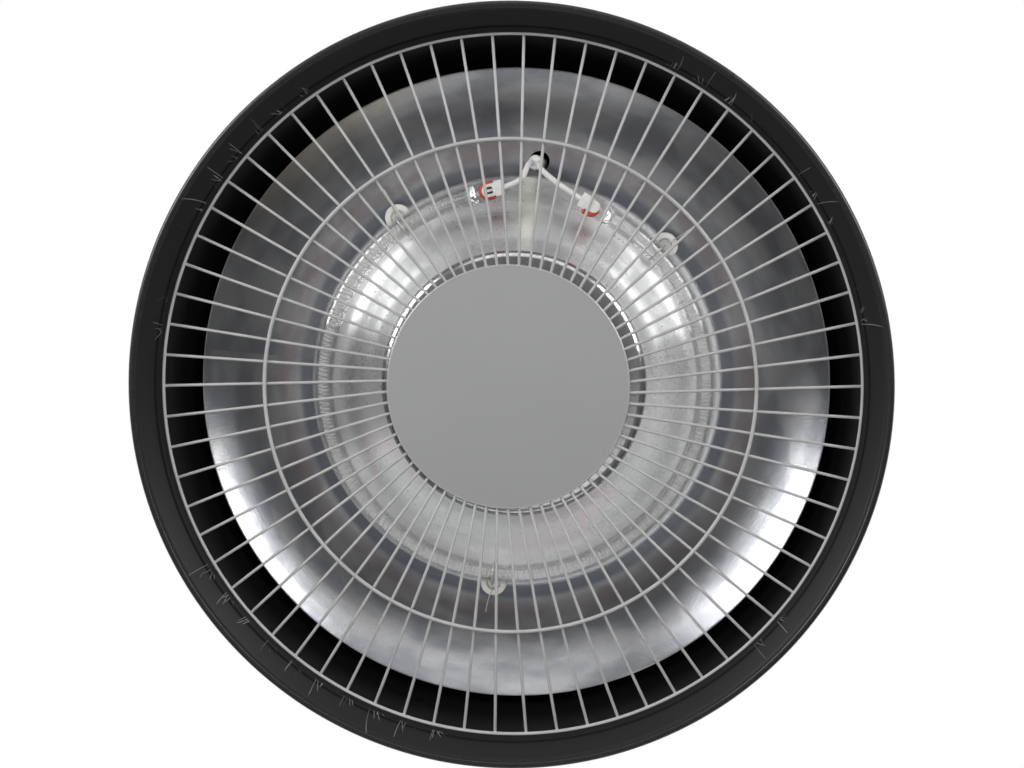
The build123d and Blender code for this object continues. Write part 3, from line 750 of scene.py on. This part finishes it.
def thickened(bm, sheet, tell):
    """Turns an open sheet so that the face that tell picks looks down, and thickens it on the other side."""
    if max(bm.faces, key=tell).normal.z > 0:
        bmesh.ops.reverse_faces(bm, faces=bm.faces)
    bmesh.ops.solidify(bm, geom=bm.faces[:], thickness=-sheet)
    return outward(bm)


def frame_matrix(origin, x_dir, z_dir=Z_AXIS):
    """The matrix that puts the X axis along x_dir and the Z axis along z_dir, at an origin."""
    x = Vector(x_dir).normalized()
    z = (Vector(z_dir) - Vector(z_dir).dot(x) * x).normalized()
    y = z.cross(x)
    return Matrix.Translation(origin) @ Matrix((x, y, z)).transposed().to_4x4()


def add_bar(bm, radius, depth, sides):
    """The vertices of a new round bar about the Z axis, half of it above the XY plane."""
    return bmesh.ops.create_cone(
        bm, cap_ends=True, segments=sides, radius1=radius, radius2=radius, depth=depth
    )["verts"]


def add_wire(bm, start, end, radius, sides=12):
    """A straight wire between two points, with rounded ends."""
    run = Vector(end) - Vector(start)
    verts = add_bar(bm, radius, run.length, sides)
    turn = run.to_track_quat("Z", "Y").to_matrix().to_4x4()
    place(bm, verts, Matrix.Translation((Vector(start) + Vector(end)) / 2) @ turn)
    rounded(bm, end_edges(verts), radius * 0.45, 2)


def wire_ring(radius, height, wire, sides=14, steps=TURN_STEPS, tall=None):
    """A wire bent into a ring about the Z axis. It is round, or as tall as asked for."""
    bm = bmesh.new()
    verts = bmesh.ops.create_circle(bm, segments=sides, radius=0.5)["verts"]
    stretch = Matrix.Diagonal((wire, tall or wire, 1, 1))
    place(bm, verts, Matrix.Translation((radius, 0, height)) @ Matrix.Rotation(pi / 2, 4, "X") @ stretch)
    swept(bm, verts + edges_of(verts), tau, steps, use_merge=True)
    return outward(bm)


def add_block(bm, matrix, low, high, rounding, segments=3):
    """A box between two corners in a frame, its edges rounded."""
    low, high = Vector(low), Vector(high)
    verts = bmesh.ops.create_cube(bm, size=1)["verts"]
    place(bm, verts, matrix @ Matrix.Translation((low + high) / 2) @ Matrix.Diagonal((*(high - low), 1)))
    rounded(bm, edges_of(verts), rounding, segments)


def settle(name, data, slot, stands_for, body=BODY):
    """Makes a piece, gives it its finish and lets it ride on its body in place of CAD nodes."""
    data.materials.clear()
    data.materials.append(finish_for(slot))
    piece = in_scene(name, data)
    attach(piece, body)
    if stands_for:
        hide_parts(*stands_for)


def show(name, shape, slot, stands_for=(), body=BODY, crease=35):
    """Makes a piece from a bmesh or a mesh, smooth but for the edges that turn more than the crease."""
    mesh = mesh_from(name, shape) if isinstance(shape, bmesh.types.BMesh) else shape
    for face in mesh.polygons:
        face.use_smooth = True
    mesh.set_sharp_from_angle(angle=radians(crease))
    settle(name, mesh, slot, stands_for, body)


def strand(name, routes, diameter, slot, stands_for=(), kind="NURBS", resolution=4, sides=4):
    """Round wire or lead along one or more routes of points."""
    line = bpy.data.curves.new(name, "CURVE")
    line.dimensions = "3D"
    line.bevel_depth = diameter / 2
    line.bevel_resolution = sides
    line.resolution_u = resolution
    line.use_fill_caps = True
    for points in routes:
        spline = line.splines.new(kind)
        spline.points.add(len(points) - 1)
        for knot, point in zip(spline.points, points):
            knot.co = (*point, 1)
        if kind == "NURBS":
            spline.order_u = 3
            spline.use_endpoint_u = True
    settle(name, line, slot, stands_for)


def dress(slot, *nodes):
    """Gives CAD nodes that stay their finish."""
    for name in nodes:
        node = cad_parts[name]
        node.data.materials.clear()
        node.data.materials.append(finish_for(slot))


def polar(radius, angle, height=0.0):
    return Vector((radius * cos(angle), radius * sin(angle), height))


def dish_bend(reflector):
    """How wide and deep the dish is, and the radius that its section is bent to."""
    width = reflector.rim_radius - reflector.valley_outer
    depth = reflector.valley_height - reflector.rim_height
    return width, depth, (width**2 + depth**2) / (2 * depth)


def dish_height(reflector, radius):
    """Height of the reflector's lower face at a radius on the dish."""
    bend = dish_bend(reflector)[2]
    return reflector.valley_height - bend + sqrt(bend**2 - (radius - reflector.valley_outer) ** 2)


def lamp_ends(lamp):
    """The two ends of the lamp's arc and, at each, the frame whose X axis leads away along the seal."""
    start = lamp.turn - pi / 2 + lamp.half_gap
    finish = lamp.turn - pi / 2 + tau - lamp.half_gap
    frames = []
    for angle, way in ((start, -1), (finish, 1)):
        along = Vector((-sin(angle), cos(angle), 0)) * way
        frames.append(frame_matrix(polar(lamp.radius, angle, lamp.height), along))
    return start, finish, frames


def spoke_height(guard, radius):
    """Height of a spoke's centre line at a distance along it."""
    top = guard.height + (guard.ring_wire + guard.spoke_wire) / 2 - WELD_BITE
    inner = guard.plate_radius - PLATE_LAP
    return top - (guard.spoke_outer - radius) * guard.drop / (guard.spoke_outer - inner)


# Operators


class HEATER_OT_shade(bpy.types.Operator):
    """Spin the shade with its rolled rim, its snap groove and its rounded shoulder"""

    bl_idname = "heater.shade"
    bl_label = "Shade"

    def execute(self, context):
        size = context.scene.heater.shade
        groove, level = size.groove_radius, size.groove_height
        mouth = groove - 0.0005
        wall = Vector((size.wall_radius, size.wall_height))
        foot = Vector((mouth, level + 0.002))
        shoulder = Vector((size.shoulder_radius, size.shoulder_height))
        turn = (wall - foot).angle(shoulder - wall)
        centre = size.rim_radius - size.rim_width / 2
        line = Line(centre, 0.0014).through(
            (centre - 0.0022, 0.0019, 0.0009, 6),
            # The conical brim and the snap groove
            (mouth + 0.0042, level - 0.0076, 0.0022, 4),
            (mouth + 0.0008, level - 0.0034, 0.0012, 4),
            (mouth, level - 0.0018, 0.0003, 2),
            (groove, level - 0.0013, 0.0003, 2),
            (groove, level + 0.0013, 0.0003, 2),
            (*foot, 0.0004, 2),
            # The leaning wall, the sloping roof and the shoulder
            (*wall, size.bend * tan(turn / 2), 18),
            (*shoulder, 0.006, 5),
            (size.neck_radius, size.shoulder_height),
        )
        sheet = thickened(line.spun(), size.sheet, lambda face: face.calc_center_median().xy.length)
        show("shade", sheet, "black_enamel", ["outer_shade"])
        hem = wire_ring(centre, size.rim_height / 2, size.rim_width, 20, tall=size.rim_height)
        show("shade_rim", hem, "black_enamel")
        return {"FINISHED"}


class HEATER_OT_reflector(bpy.types.Operator):
    """Spin the reflector's boss, valley and dish, and punch its lead hole"""

    bl_idname = "heater.reflector"
    bl_label = "Reflector"

    def execute(self, context):
        size = context.scene.heater.reflector
        width, depth, bend = dish_bend(size)
        face, level = size.boss_radius, size.boss_height
        line = Line(0.0, level).through(
            (face, level, 0.0016, 4),
            (face + 0.0025, level + 0.0025, 0.0016, 4),
            (face + 0.0075, level + 0.0092, 0.004, 7),
            (size.valley_inner, size.valley_height, 0.006, 8),
            (size.valley_outer, size.valley_height),
        )
        sweep = pi - 2 * acos(depth / sqrt(width**2 + depth**2))
        line.arc(size.valley_outer, size.valley_height - bend, sweep, 40)
        line.to(size.rim_radius + size.flange, size.rim_height)
        sheet = thickened(line.spun(), size.sheet, lambda face: face.calc_area() * abs(face.normal.z))
        hole = Vector((0, -size.hole_circle, dish_height(size, size.hole_circle)))
        cutter = bmesh.new()
        place(cutter, add_bar(cutter, size.hole_radius, 0.02, 48), Matrix.Translation(hole))
        show("reflector_sheet", self.punched(sheet, cutter), "polished_aluminium", ["reflector"])
        lip = wire_ring(size.hole_radius + 0.0001, 0.0, 0.0007, 10, 64)
        slope = (size.hole_circle - size.valley_outer) / bend
        place(lip, lip.verts, Matrix.Translation(hole - Z_AXIS * 0.0001) @ Matrix.Rotation(slope, 4, "X"))
        show("lead_hole_lip", lip, "polished_aluminium")
        return {"FINISHED"}

    def punched(self, sheet, cutter):
        """The sheet's mesh with the cutter's shape taken out of it."""
        whole = in_scene("sheet", mesh_from("sheet", sheet))
        tool = in_scene("cutter", mesh_from("cutter", cutter))
        cut = whole.modifiers.new("hole", "BOOLEAN")
        cut.operation = "DIFFERENCE"
        cut.solver = "EXACT"
        cut.object = tool
        graph = bpy.context.evaluated_depsgraph_get()
        result = bpy.data.meshes.new_from_object(whole.evaluated_get(graph))
        for spare in (whole, tool):
            bpy.data.objects.remove(spare)
        return result


class HEATER_OT_guard(bpy.types.Operator):
    """Bend the guard's rings, lay its spokes, weld them and set the plate in the middle"""

    bl_idname = "heater.guard"
    bl_label = "Guard"

    def execute(self, context):
        size = context.scene.heater.guard
        outer = wire_ring(size.radius, size.height, size.ring_wire)
        show("guard_rim_wire", outer, "guard_wire", ["guard_outer_ring"])
        under = (size.ring_wire + size.spoke_wire) / 2 - WELD_BITE
        middle = wire_ring(size.middle_radius, spoke_height(size, size.middle_radius) - under, size.ring_wire)
        show("guard_middle_wire", middle, "guard_wire", ["guard_middle_ring"])
        self.spokes(size)
        self.welds(size, under)
        self.plate(size)
        return {"FINISHED"}

    def around(self, bm, count):
        """Repeats what a bmesh holds at even steps about the axis."""
        parts = bm.verts[:] + bm.edges[:] + bm.faces[:]
        swept(bm, parts, tau * (count - 1) / count, count - 1, use_duplicate=True)
        place(bm, bm.verts, Matrix.Rotation(-pi / 2, 4, "Z"))

    def spokes(self, size):
        inner = size.plate_radius - PLATE_LAP
        start = (inner, size.spoke_offset, spoke_height(size, inner))
        end_x = sqrt(size.spoke_outer**2 - size.spoke_offset**2)
        end = (end_x, size.spoke_offset, spoke_height(size, size.spoke_outer))
        bm = bmesh.new()
        add_wire(bm, start, end, size.spoke_wire / 2)
        self.around(bm, size.spoke_count)
        show("guard_wires", bm, "guard_wire", ["guard_spokes"])

    def welds(self, size, under):
        bm = bmesh.new()
        for radius in (size.middle_radius, size.radius - 0.0004):
            along = sqrt(radius**2 - size.spoke_offset**2)
            height = spoke_height(size, radius) - under / 2
            blob = bmesh.ops.create_uvsphere(bm, u_segments=8, v_segments=5, radius=1.0)["verts"]
            flat = Matrix.Diagonal((0.0013, 0.00105, 0.00105, 1))
            place(bm, blob, Matrix.Translation((along, size.spoke_offset, height)) @ flat)
        self.around(bm, size.spoke_count)
        show("guard_welds", bm, "guard_wire")

    def plate(self, size):
        top = spoke_height(size, size.plate_radius) - size.spoke_wire / 2 + WELD_BITE
        bottom = top - size.plate_sheet
        edge = size.plate_radius
        line = Line(0.0, bottom).through((edge, bottom, 0.00045, 4), (edge, top, 0.00025, 3), (0.0, top))
        show("guard_plate", line.spun(), "plate_enamel", ["guard_centre_plate"], crease=60)


class HEATER_OT_lamp(bpy.types.Operator):
    """Blow the quartz ring, pinch its ends and wind its coil"""

    bl_idname = "heater.lamp"
    bl_label = "Lamp"

    def execute(self, context):
        size = context.scene.heater.lamp
        start, finish, frames = lamp_ends(size)
        self.glass(size, start, finish, frames)
        self.coil(size, start, finish)
        self.foils(size, frames)
        return {"FINISHED"}

    def arc_tube(self, bm, size, radius, start, finish, sides):
        """An open tube along the lamp's arc, with the vertices of its two end loops."""
        first = bmesh.ops.create_circle(bm, segments=sides, radius=radius)["verts"]
        upright = Matrix.Translation((size.radius, 0, size.height)) @ Matrix.Rotation(pi / 2, 4, "X")
        place(bm, first, Matrix.Rotation(start, 4, "Z") @ upright)
        return first, swept(bm, first + edges_of(first), finish - start, 150)

    def drawn(self, bm, loop, matrix, steps):
        """Carries an end loop outwards: each step is how far it goes and how its outline is shaped."""
        inverse = matrix.inverted()
        for reach, shape in steps:
            edges = [e for e in edges_of(loop) if all(v in loop for v in e.verts)]
            loop = verts_in(bmesh.ops.extrude_edge_only(bm, edges=edges)["geom"])
            for vertex in loop:
                local = inverse @ vertex.co
                y, z = shape(local.y, local.z)
                vertex.co = matrix @ Vector((reach, y, z))
        bmesh.ops.contextual_create(bm, geom=loop)

    def glass(self, size, start, finish, frames):
        half_width, half_flat = size.seal_width / 2, size.seal_thickness / 2

        def flat(y, z):
            """The outline of the seal: the circle pulled out to a box with blunt corners."""
            way = Vector((y, z)).normalized()
            return (
                max(-1.0, min(1.0, way.x * 1.35)) * half_width,
                max(-1.0, min(1.0, way.y * 1.9)) * half_flat,
            )

        def halfway(y, z):
            wide, thin = flat(y, z)
            return (y * 0.4 + wide * 0.6, z * 0.45 + thin * 0.55)

        def shrunk(share_y, share_z):
            return lambda y, z: (y * share_y, z * share_z)

        pinch = (
            (size.end_wall, shrunk(1, 1)),
            (size.end_wall + size.seal_taper * 0.5, halfway),
            (size.end_wall + size.seal_taper, flat),
            (size.seal_length, flat),
        )
        dome = ((0.0008, shrunk(0.93, 0.9)), (0.0018, shrunk(0.72, 0.6)), (0.0024, shrunk(0.35, 0.3)))
        outer = size.tube / 2
        walls = []
        for radius, sides, steps in ((outer, 28, pinch), (outer - size.tube_wall, 24, dome)):
            wall = bmesh.new()
            loops = self.arc_tube(wall, size, radius, start, finish, sides)
            for loop, matrix in zip(loops, frames):
                self.drawn(wall, loop, matrix, steps)
            walls.append(outward(wall))
        bm, bore = walls
        bmesh.ops.reverse_faces(bore, faces=bore.faces)
        join(bm, bore)
        show("lamp_glass", bm, "quartz", ["quartz_tube"], crease=50)

    def coil(self, size, start, finish):
        """Winds the coil a little unevenly, with a straight tail at each end."""
        tail = 0.004 / size.radius
        around = (size.coil - size.coil_wire) / 2
        span = finish - start - 2 * tail
        count = size.coil_turns * 12
        points = [polar(size.radius, start - tail * 0.4, size.height)]
        for i in range(count + 1):
            share = i / count
            turn = tau * size.coil_turns * share + 2.2 * sin(share * 97.0) + 1.6 * sin(share * 241.0)
            grown = around * min(1.0, 14 * share + 0.15, 14 * (1 - share) + 0.15)
            radius = size.radius + grown * cos(turn)
            points.append(polar(radius, start + tail + span * share, size.height + grown * sin(turn)))
        points.append(polar(size.radius, finish + tail * 0.4, size.height))
        strand("lamp_coil", [points], size.coil_wire, "tungsten", ["filament"], kind="POLY", sides=0)

    def foils(self, size, frames):
        bm = bmesh.new()
        for matrix in frames:
            add_block(bm, matrix, (0.0055, -0.0013, -0.00004), (0.0105, 0.0013, 0.00004), 0.00001, 1)
            add_wire(bm, matrix.translation, matrix @ Vector((0.006, 0, 0)), 0.0004, 8)
        show("lamp_foils", bm, "tungsten")


class HEATER_OT_lamp_ends(bpy.types.Operator):
    """Set the ceramic plugs on the lamp's ends and pack them with silicone"""

    bl_idname = "heater.lamp_ends"
    bl_label = "Lamp ends"

    def execute(self, context):
        size = context.scene.heater.lamp
        frames = lamp_ends(size)[2]
        body_start, body_end, half = 0.0095, 0.0175, 0.0034
        plugs, packing, slot_shadows = bmesh.new(), bmesh.new(), bmesh.new()
        # Each end's frame, the side that its painted slot shadows are on and how far its silicone is pressed
        # aside
        for matrix, front, pressed in zip(frames, (1, -1), ((0.0014, -0.0015, 0), (0, 0, 0))):
            self.tongue(plugs, matrix, body_start, body_end, 0.0037, (-half, half), 0.0006)
            add_block(plugs, matrix, (body_end - 0.0004, -0.0045, -half), (PLUG_END, 0.0045, half), 0.0006)
            aside = matrix @ Matrix.Translation(pressed)
            self.tongue(packing, aside, 0.0078, 0.0166, 0.0052, (-0.0029, 0.0044), 0.0012)
            # Painted shade: thin black blocks set in the plug's face stand for the shadows inside its two
            # slots.
            low, high = front * 0.00342 - 0.0002, front * 0.00342 + 0.0002
            for middle in (-0.00135, 0.00135):
                near, far = middle - 0.00055, middle + 0.00055
                add_block(slot_shadows, matrix, (0.0118, near, low), (0.0158, far, high), 0.00015, 2)
        show("end_plug_bodies", plugs, "white_ceramic", ["end_plugs"])
        show("end_packing", packing, "orange_silicone", ["end_seals"])
        show("end_plug_slot_shadows", slot_shadows, "black_rubber")
        return {"FINISHED"}

    def tongue(self, bm, matrix, tip, root, half_width, levels, rounding):
        """A block along X with a half-round tip."""
        low, high = levels
        add_block(bm, matrix, (tip + half_width, -half_width, low), (root, half_width, high), rounding)
        verts = add_bar(bm, half_width, high - low, 40)
        place(bm, verts, matrix @ Matrix.Translation((tip + half_width, 0, (low + high) / 2)))
        rounded(bm, end_edges(verts), rounding, 3)


class HEATER_OT_supports(bpy.types.Operator):
    """Turn the ceramic posts and bend the spring wires that hold the lamp to them"""

    bl_idname = "heater.supports"
    bl_label = "Supports"

    def execute(self, context):
        settings = context.scene.heater
        size = settings.lamp
        circle = size.radius + size.tube / 2 + 0.0003 + size.clip_wire / 2
        top = dish_height(settings.reflector, circle + size.post / 2)
        under = top - size.post_length
        angles = [radians(a) for a in (-131.5, -48.5, 90)]
        posts = bmesh.new()
        well, half = size.post_well / 2, size.post / 2
        for angle in angles:
            post = Line(0.0, under + 0.002).through(
                (well, under + 0.002, 0.0006, 3),
                (well, under, 0.0004, 3),
                (half, under, 0.0008, 4),
                (half, top + 0.0016),
                (0.0, top + 0.0016),
            )
            turned = post.spun(48)
            place(turned, turned.verts, Matrix.Translation(polar(circle, angle)))
            join(posts, turned)
        show("post_bodies", posts, "white_ceramic", ["support_posts"])
        loops, springs = [], []
        around = circle - size.radius
        # Out of the post's well and three quarters round the tube
        loop = [(circle, 0, under + 0.0058), (circle, 0, size.height + 0.003)]
        for step in range(13):
            turn = -step * radians(270) / 12
            loop.append((size.radius + around * cos(turn), 0, size.height + around * sin(turn)))
        # Five turns of spring in the mouth of the well
        spring = []
        for step in range(61):
            turned = polar(0.0038, step * tau / 12, under + 0.0002 + 0.0032 * step / 60)
            spring.append(turned + Vector((circle, 0, 0)))
        # The tail that lies along the post's lower face and sticks out
        tail = [
            (circle + 0.0022, 0.0, under + 0.0004),
            (circle + 0.006, 0.001, under - 0.0012),
            (circle + 0.012, 0.0024, under - 0.0004),
            (circle + 0.0175, 0.0028, under + 0.0006),
        ]
        for angle in angles:
            turn = Matrix.Rotation(angle, 3, "Z")
            loops.append([turn @ Vector(point) for point in loop])
            springs += [[turn @ Vector(point) for point in points] for points in (spring, tail)]
        strand("clip_loops", loops, size.clip_wire, "spring_steel", ["support_clips"], resolution=6)
        strand("clip_springs", springs, 0.0007, "spring_steel", resolution=5, sides=2)
        return {"FINISHED"}


class HEATER_OT_leads(bpy.types.Operator):
    """Lead the two sleeved wires from the terminal block through the reflector to the lamp"""

    bl_idname = "heater.leads"
    bl_label = "Leads"

    def execute(self, context):
        settings = context.scene.heater
        size = settings.lamp
        frames = lamp_ends(size)[2]
        reflector = settings.reflector
        bundle = reflector.hole_circle - 0.001
        sleeve_under = dish_height(reflector, reflector.hole_circle) - 0.004
        sleeve_over = sleeve_under + 0.015
        block = 0.146
        # Each lead's side, the end that it runs to and its last bend, measured from the bundle
        turns = (("right", 1, frames[0], 0.0023, 0.005), ("left", -1, frames[1], -0.0026, 0.0025))
        for name, side, matrix, turn_x, turn_y in turns:
            x = side * 0.0019
            bundle_x = x - 0.001
            # Out of the block, down to the sleeve, through it and round to the plug
            route = [
                (side * 0.01, -0.0231, block),
                (side * 0.01, -0.034, block),
                (x, -0.043, block),
                (x, -0.043, 0.127),
                (bundle_x, -0.06, 0.112),
                (bundle_x, -bundle + 0.016, sleeve_over + 0.015),
                (bundle_x, -bundle, sleeve_over + 0.008),
                (bundle_x - 0.0016, -bundle, sleeve_under - 0.005),
                (bundle_x + turn_x, -bundle + turn_y, size.height + 0.0045),
                matrix @ Vector((PLUG_END + 0.0105, 0, 0)),
                matrix @ Vector((PLUG_END - 0.0015, 0, 0)),
            ]
            strand(f"lead_{name}_sheath", [route], size.lead, "lead_sheath", [f"lead_{name}"], resolution=16)
        bottom, half = sleeve_under - sleeve_over, 0.0043
        line = Line(0.0, bottom).through((half, bottom, 0.0014, 5), (half, 0.0, 0.0002, 2), (0.0, 0.0))
        braid = line.spun(48)
        lean = Matrix.Translation((-0.0002, -bundle, sleeve_over)) @ Matrix.Rotation(radians(8), 4, "Y")
        place(braid, braid.verts, lean)
        show("lead_braid", braid, "lead_sheath", ["lead_sleeve"])
        return {"FINISHED"}


class HEATER_OT_fittings(bpy.types.Operator):
    """Forge the eye bolt and the hanging ring, and dress the collar, the cap and the cable gland"""

    bl_idname = "heater.fittings"
    bl_label = "Fittings"

    def execute(self, context):
        size = context.scene.heater.fittings
        cap_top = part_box("top_cap")[1].z
        bolt_low, bolt_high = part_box("eye_bolt")
        eye_height = bolt_high.z - size.eye_radius - size.wire / 2 / cos(pi / 8) + 0.0001
        bolt = wire_ring(size.eye_radius, 0.0, size.wire, 24, 72)
        place(bolt, bolt.verts, Matrix.Translation((0, 0, eye_height)) @ Matrix.Rotation(pi / 2, 4, "X"))
        foot, foot_top, neck_top = size.foot_radius, cap_top + size.foot_height, eye_height - size.eye_radius
        shaft, neck_low, neck_high = 0.004, 0.0052, 0.0036
        shank = Line(0.0, bolt_low.z).through(
            (shaft, bolt_low.z, 0.0006, 2),
            (shaft, cap_top),
            (foot, cap_top, 0.0003, 2),
            (foot, foot_top, 0.0009, 4),
            (neck_low, foot_top, 0.0012, 4),
            (neck_high, neck_top),
            (0.0, neck_top),
        )
        join(bolt, shank.spun(40))
        show("eye_bolt_forged", outward(bolt), "zinc_steel", ["eye_bolt"])
        ring_low, ring_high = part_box("hanging_ring")
        ring_centre = (ring_low.z + ring_high.z) / 2
        ring = wire_ring(size.ring_radius, 0.0, size.wire, 24, 112)
        place(ring, ring.verts, Matrix.Translation((0, 0, ring_centre)) @ Matrix.Rotation(pi / 2, 4, "Y"))
        show("hanging_ring_wire", ring, "zinc_steel", ["hanging_ring"], body="hanging_ring")
        dress("cap_enamel", "top_cap")
        dress("black_enamel", "vent_collar")
        dress("zinc_steel", "mounting_plate", "reflector_spacers", "spacer_screws", "eye_nuts")
        dress("grey_nylon", "gland_body", "gland_dome", "gland_nut")
        dress("black_rubber", "gland_seal", "plate_grommet")
        dress("block_plastic", "terminal_block")
        return {"FINISHED"}


class HEATER_OT_stage(bpy.types.Operator):
    """Set the camera under the heater, with a pale floor, a white surround and soft lights"""

    bl_idname = "heater.stage"
    bl_label = "Stage"

    def execute(self, context):
        size = context.scene.heater.stage
        self.camera(context, size)
        self.floor(size)
        self.surround(context)
        self.lights(size)
        context.scene.view_settings.view_transform = "Standard"
        return {"FINISHED"}

    def camera(self, context, size):
        """Looks up at the heater, with the picture turned about its axis."""
        right, up = polar(1.0, PICTURE_TURN), polar(1.0, PICTURE_TURN - pi / 2)
        eye = right * size.camera_right + up * size.camera_up - Z_AXIS * size.camera_drop
        aim = right * 0.003 + up * 0.002
        data = bpy.data.cameras.new("camera")
        data.lens = size.lens
        data.sensor_width = 36
        camera = in_scene("camera", data)
        back = (eye - aim).normalized()
        camera.matrix_world = frame_matrix(eye, right - right.dot(back) * back, back)
        context.scene.camera = camera

    def floor(self, size):
        """A pale floor that looks whiter to the camera than to the heater."""
        bm = bmesh.new()
        bmesh.ops.create_circle(bm, cap_ends=True, segments=96, radius=60)
        place(bm, bm.verts, Matrix.Translation((0, 0, -size.floor_drop)))
        mesh = mesh_from("floor", bm)
        paint = Finish("floor paint", Roughness=0.8)
        cloud = paint.noise(paint.point(), 1.2, 3.0, 0.5)
        darker = [c * 0.94 for c in size.floor]
        paint.feed("Base Color", paint.mix(cloud.ramp(0.3, 0.7) * 0.3, size.floor, darker))
        glow = paint.tree.nodes.new("ShaderNodeEmission")
        glow.inputs["Color"].default_value = (0.93, 0.93, 0.93, 1)
        seen = paint.node("ShaderNodeLightPath", {}, {}, "Is Camera Ray") * 0.75
        blended(paint.tree, seen, paint.shader, glow, "Material Output")
        mesh.materials.append(paint.material)
        in_scene("floor", mesh)

    def surround(self, context):
        """White to the camera and in mirrors and glass, and dim as a light."""
        world = bpy.data.worlds.new("surround")
        context.scene.world = world
        world.use_nodes = True
        tree = world.node_tree
        white = tree.nodes["Background"]
        white.inputs["Color"].default_value = (1, 1, 1, 1)
        dim = tree.nodes.new("ShaderNodeBackground")
        dim.inputs["Color"].default_value = (0.03, 0.03, 0.03, 1)
        path = tree.nodes.new("ShaderNodeLightPath").outputs
        rays = [Signal(tree, path[f"Is {kind} Ray"]) for kind in ("Camera", "Glossy", "Transmission")]
        seen = (rays[0] + rays[1] + rays[2]).math("MINIMUM", 1.0)
        blended(tree, seen, dim, white, "World Output")

    def lights(self, size):
        """Soft lights that face the heater."""
        # Each light's distance from the heater's axis, angle, height, size both ways and power
        spots = (
            ("right light", 1.5, -39, -0.76, 0.95, 0.8, size.side_light),
            ("left light", 1.5, -158, -0.76, 0.8, 0.8, size.side_light * 1.15),
            ("near light", 1.5, 84, -0.78, 1.9, 0.4, 2.1),
            ("far light", 1.42, -96, -1.0, 1.5, 1.3, 6.1),
            ("soft light", 0.85, 137, -2.0, 1.1, 1.1, 0.75),
            ("low light", 0.3, 84, -1.5, 0.34, 0.34, 0.3),
            ("fill light", 0.2, 84, -2.1, 0.9, 0.9, size.fill_light),
            ("top light", 0.5, -53.13, 1.6, 1.0, 1.0, size.top_light),
        )
        for name, away, turn, level, width, height, power in spots:
            data = bpy.data.lights.new(name, "AREA")
            data.shape = "RECTANGLE"
            data.size = width
            data.size_y = height
            data.energy = power
            light = in_scene(name, data)
            light.location = polar(away, radians(turn), level)
            aim = Z_AXIS * (0.05 if level < 0 else 0.1)
            light.rotation_euler = (aim - light.location).to_track_quat("-Z", "Y").to_euler()
            light.visible_camera = False
            light.visible_glossy = name != "fill light"


class HEATER_PT_panel(bpy.types.Panel):
    """Lists the heater's operators and settings in the sidebar"""

    bl_idname = "HEATER_PT_panel"
    bl_label = "Patio heater"
    bl_space_type = "VIEW_3D"
    bl_region_type = "UI"
    bl_category = "Heater"

    def draw(self, context):
        for group, operator in PANEL_ROWS:
            box = self.layout.box()
            box.operator(operator)
            settings = getattr(context.scene.heater, group)
            for name in settings.bl_rna.properties.keys():
                if name not in ("rna_type", "name"):
                    box.prop(settings, name)


PANEL_ROWS = [
    ("shade", "heater.shade"),
    ("reflector", "heater.reflector"),
    ("guard", "heater.guard"),
    ("lamp", "heater.lamp"),
    ("lamp", "heater.lamp_ends"),
    ("lamp", "heater.supports"),
    ("lamp", "heater.leads"),
    ("fittings", "heater.fittings"),
    ("stage", "heater.stage"),
]
CLASSES = (
    HEATER_PG_shade,
    HEATER_PG_reflector,
    HEATER_PG_guard,
    HEATER_PG_lamp,
    HEATER_PG_fittings,
    HEATER_PG_stage,
    HEATER_PG_settings,
    HEATER_OT_shade,
    HEATER_OT_reflector,
    HEATER_OT_guard,
    HEATER_OT_lamp,
    HEATER_OT_lamp_ends,
    HEATER_OT_supports,
    HEATER_OT_leads,
    HEATER_OT_fittings,
    HEATER_OT_stage,
    HEATER_PT_panel,
)


def register():
    for cls in CLASSES:
        bpy.utils.register_class(cls)
    bpy.types.Scene.heater = PointerProperty(type=HEATER_PG_settings)


def unregister():
    del bpy.types.Scene.heater
    for cls in reversed(CLASSES):
        bpy.utils.unregister_class(cls)


def main():
    register()
    bpy.ops.heater.stage()
    bpy.ops.heater.shade()
    bpy.ops.heater.reflector()
    bpy.ops.heater.guard()
    bpy.ops.heater.lamp()
    bpy.ops.heater.lamp_ends()
    bpy.ops.heater.supports()
    bpy.ops.heater.leads()
    bpy.ops.heater.fittings()


if __name__ == "__main__":
    main()
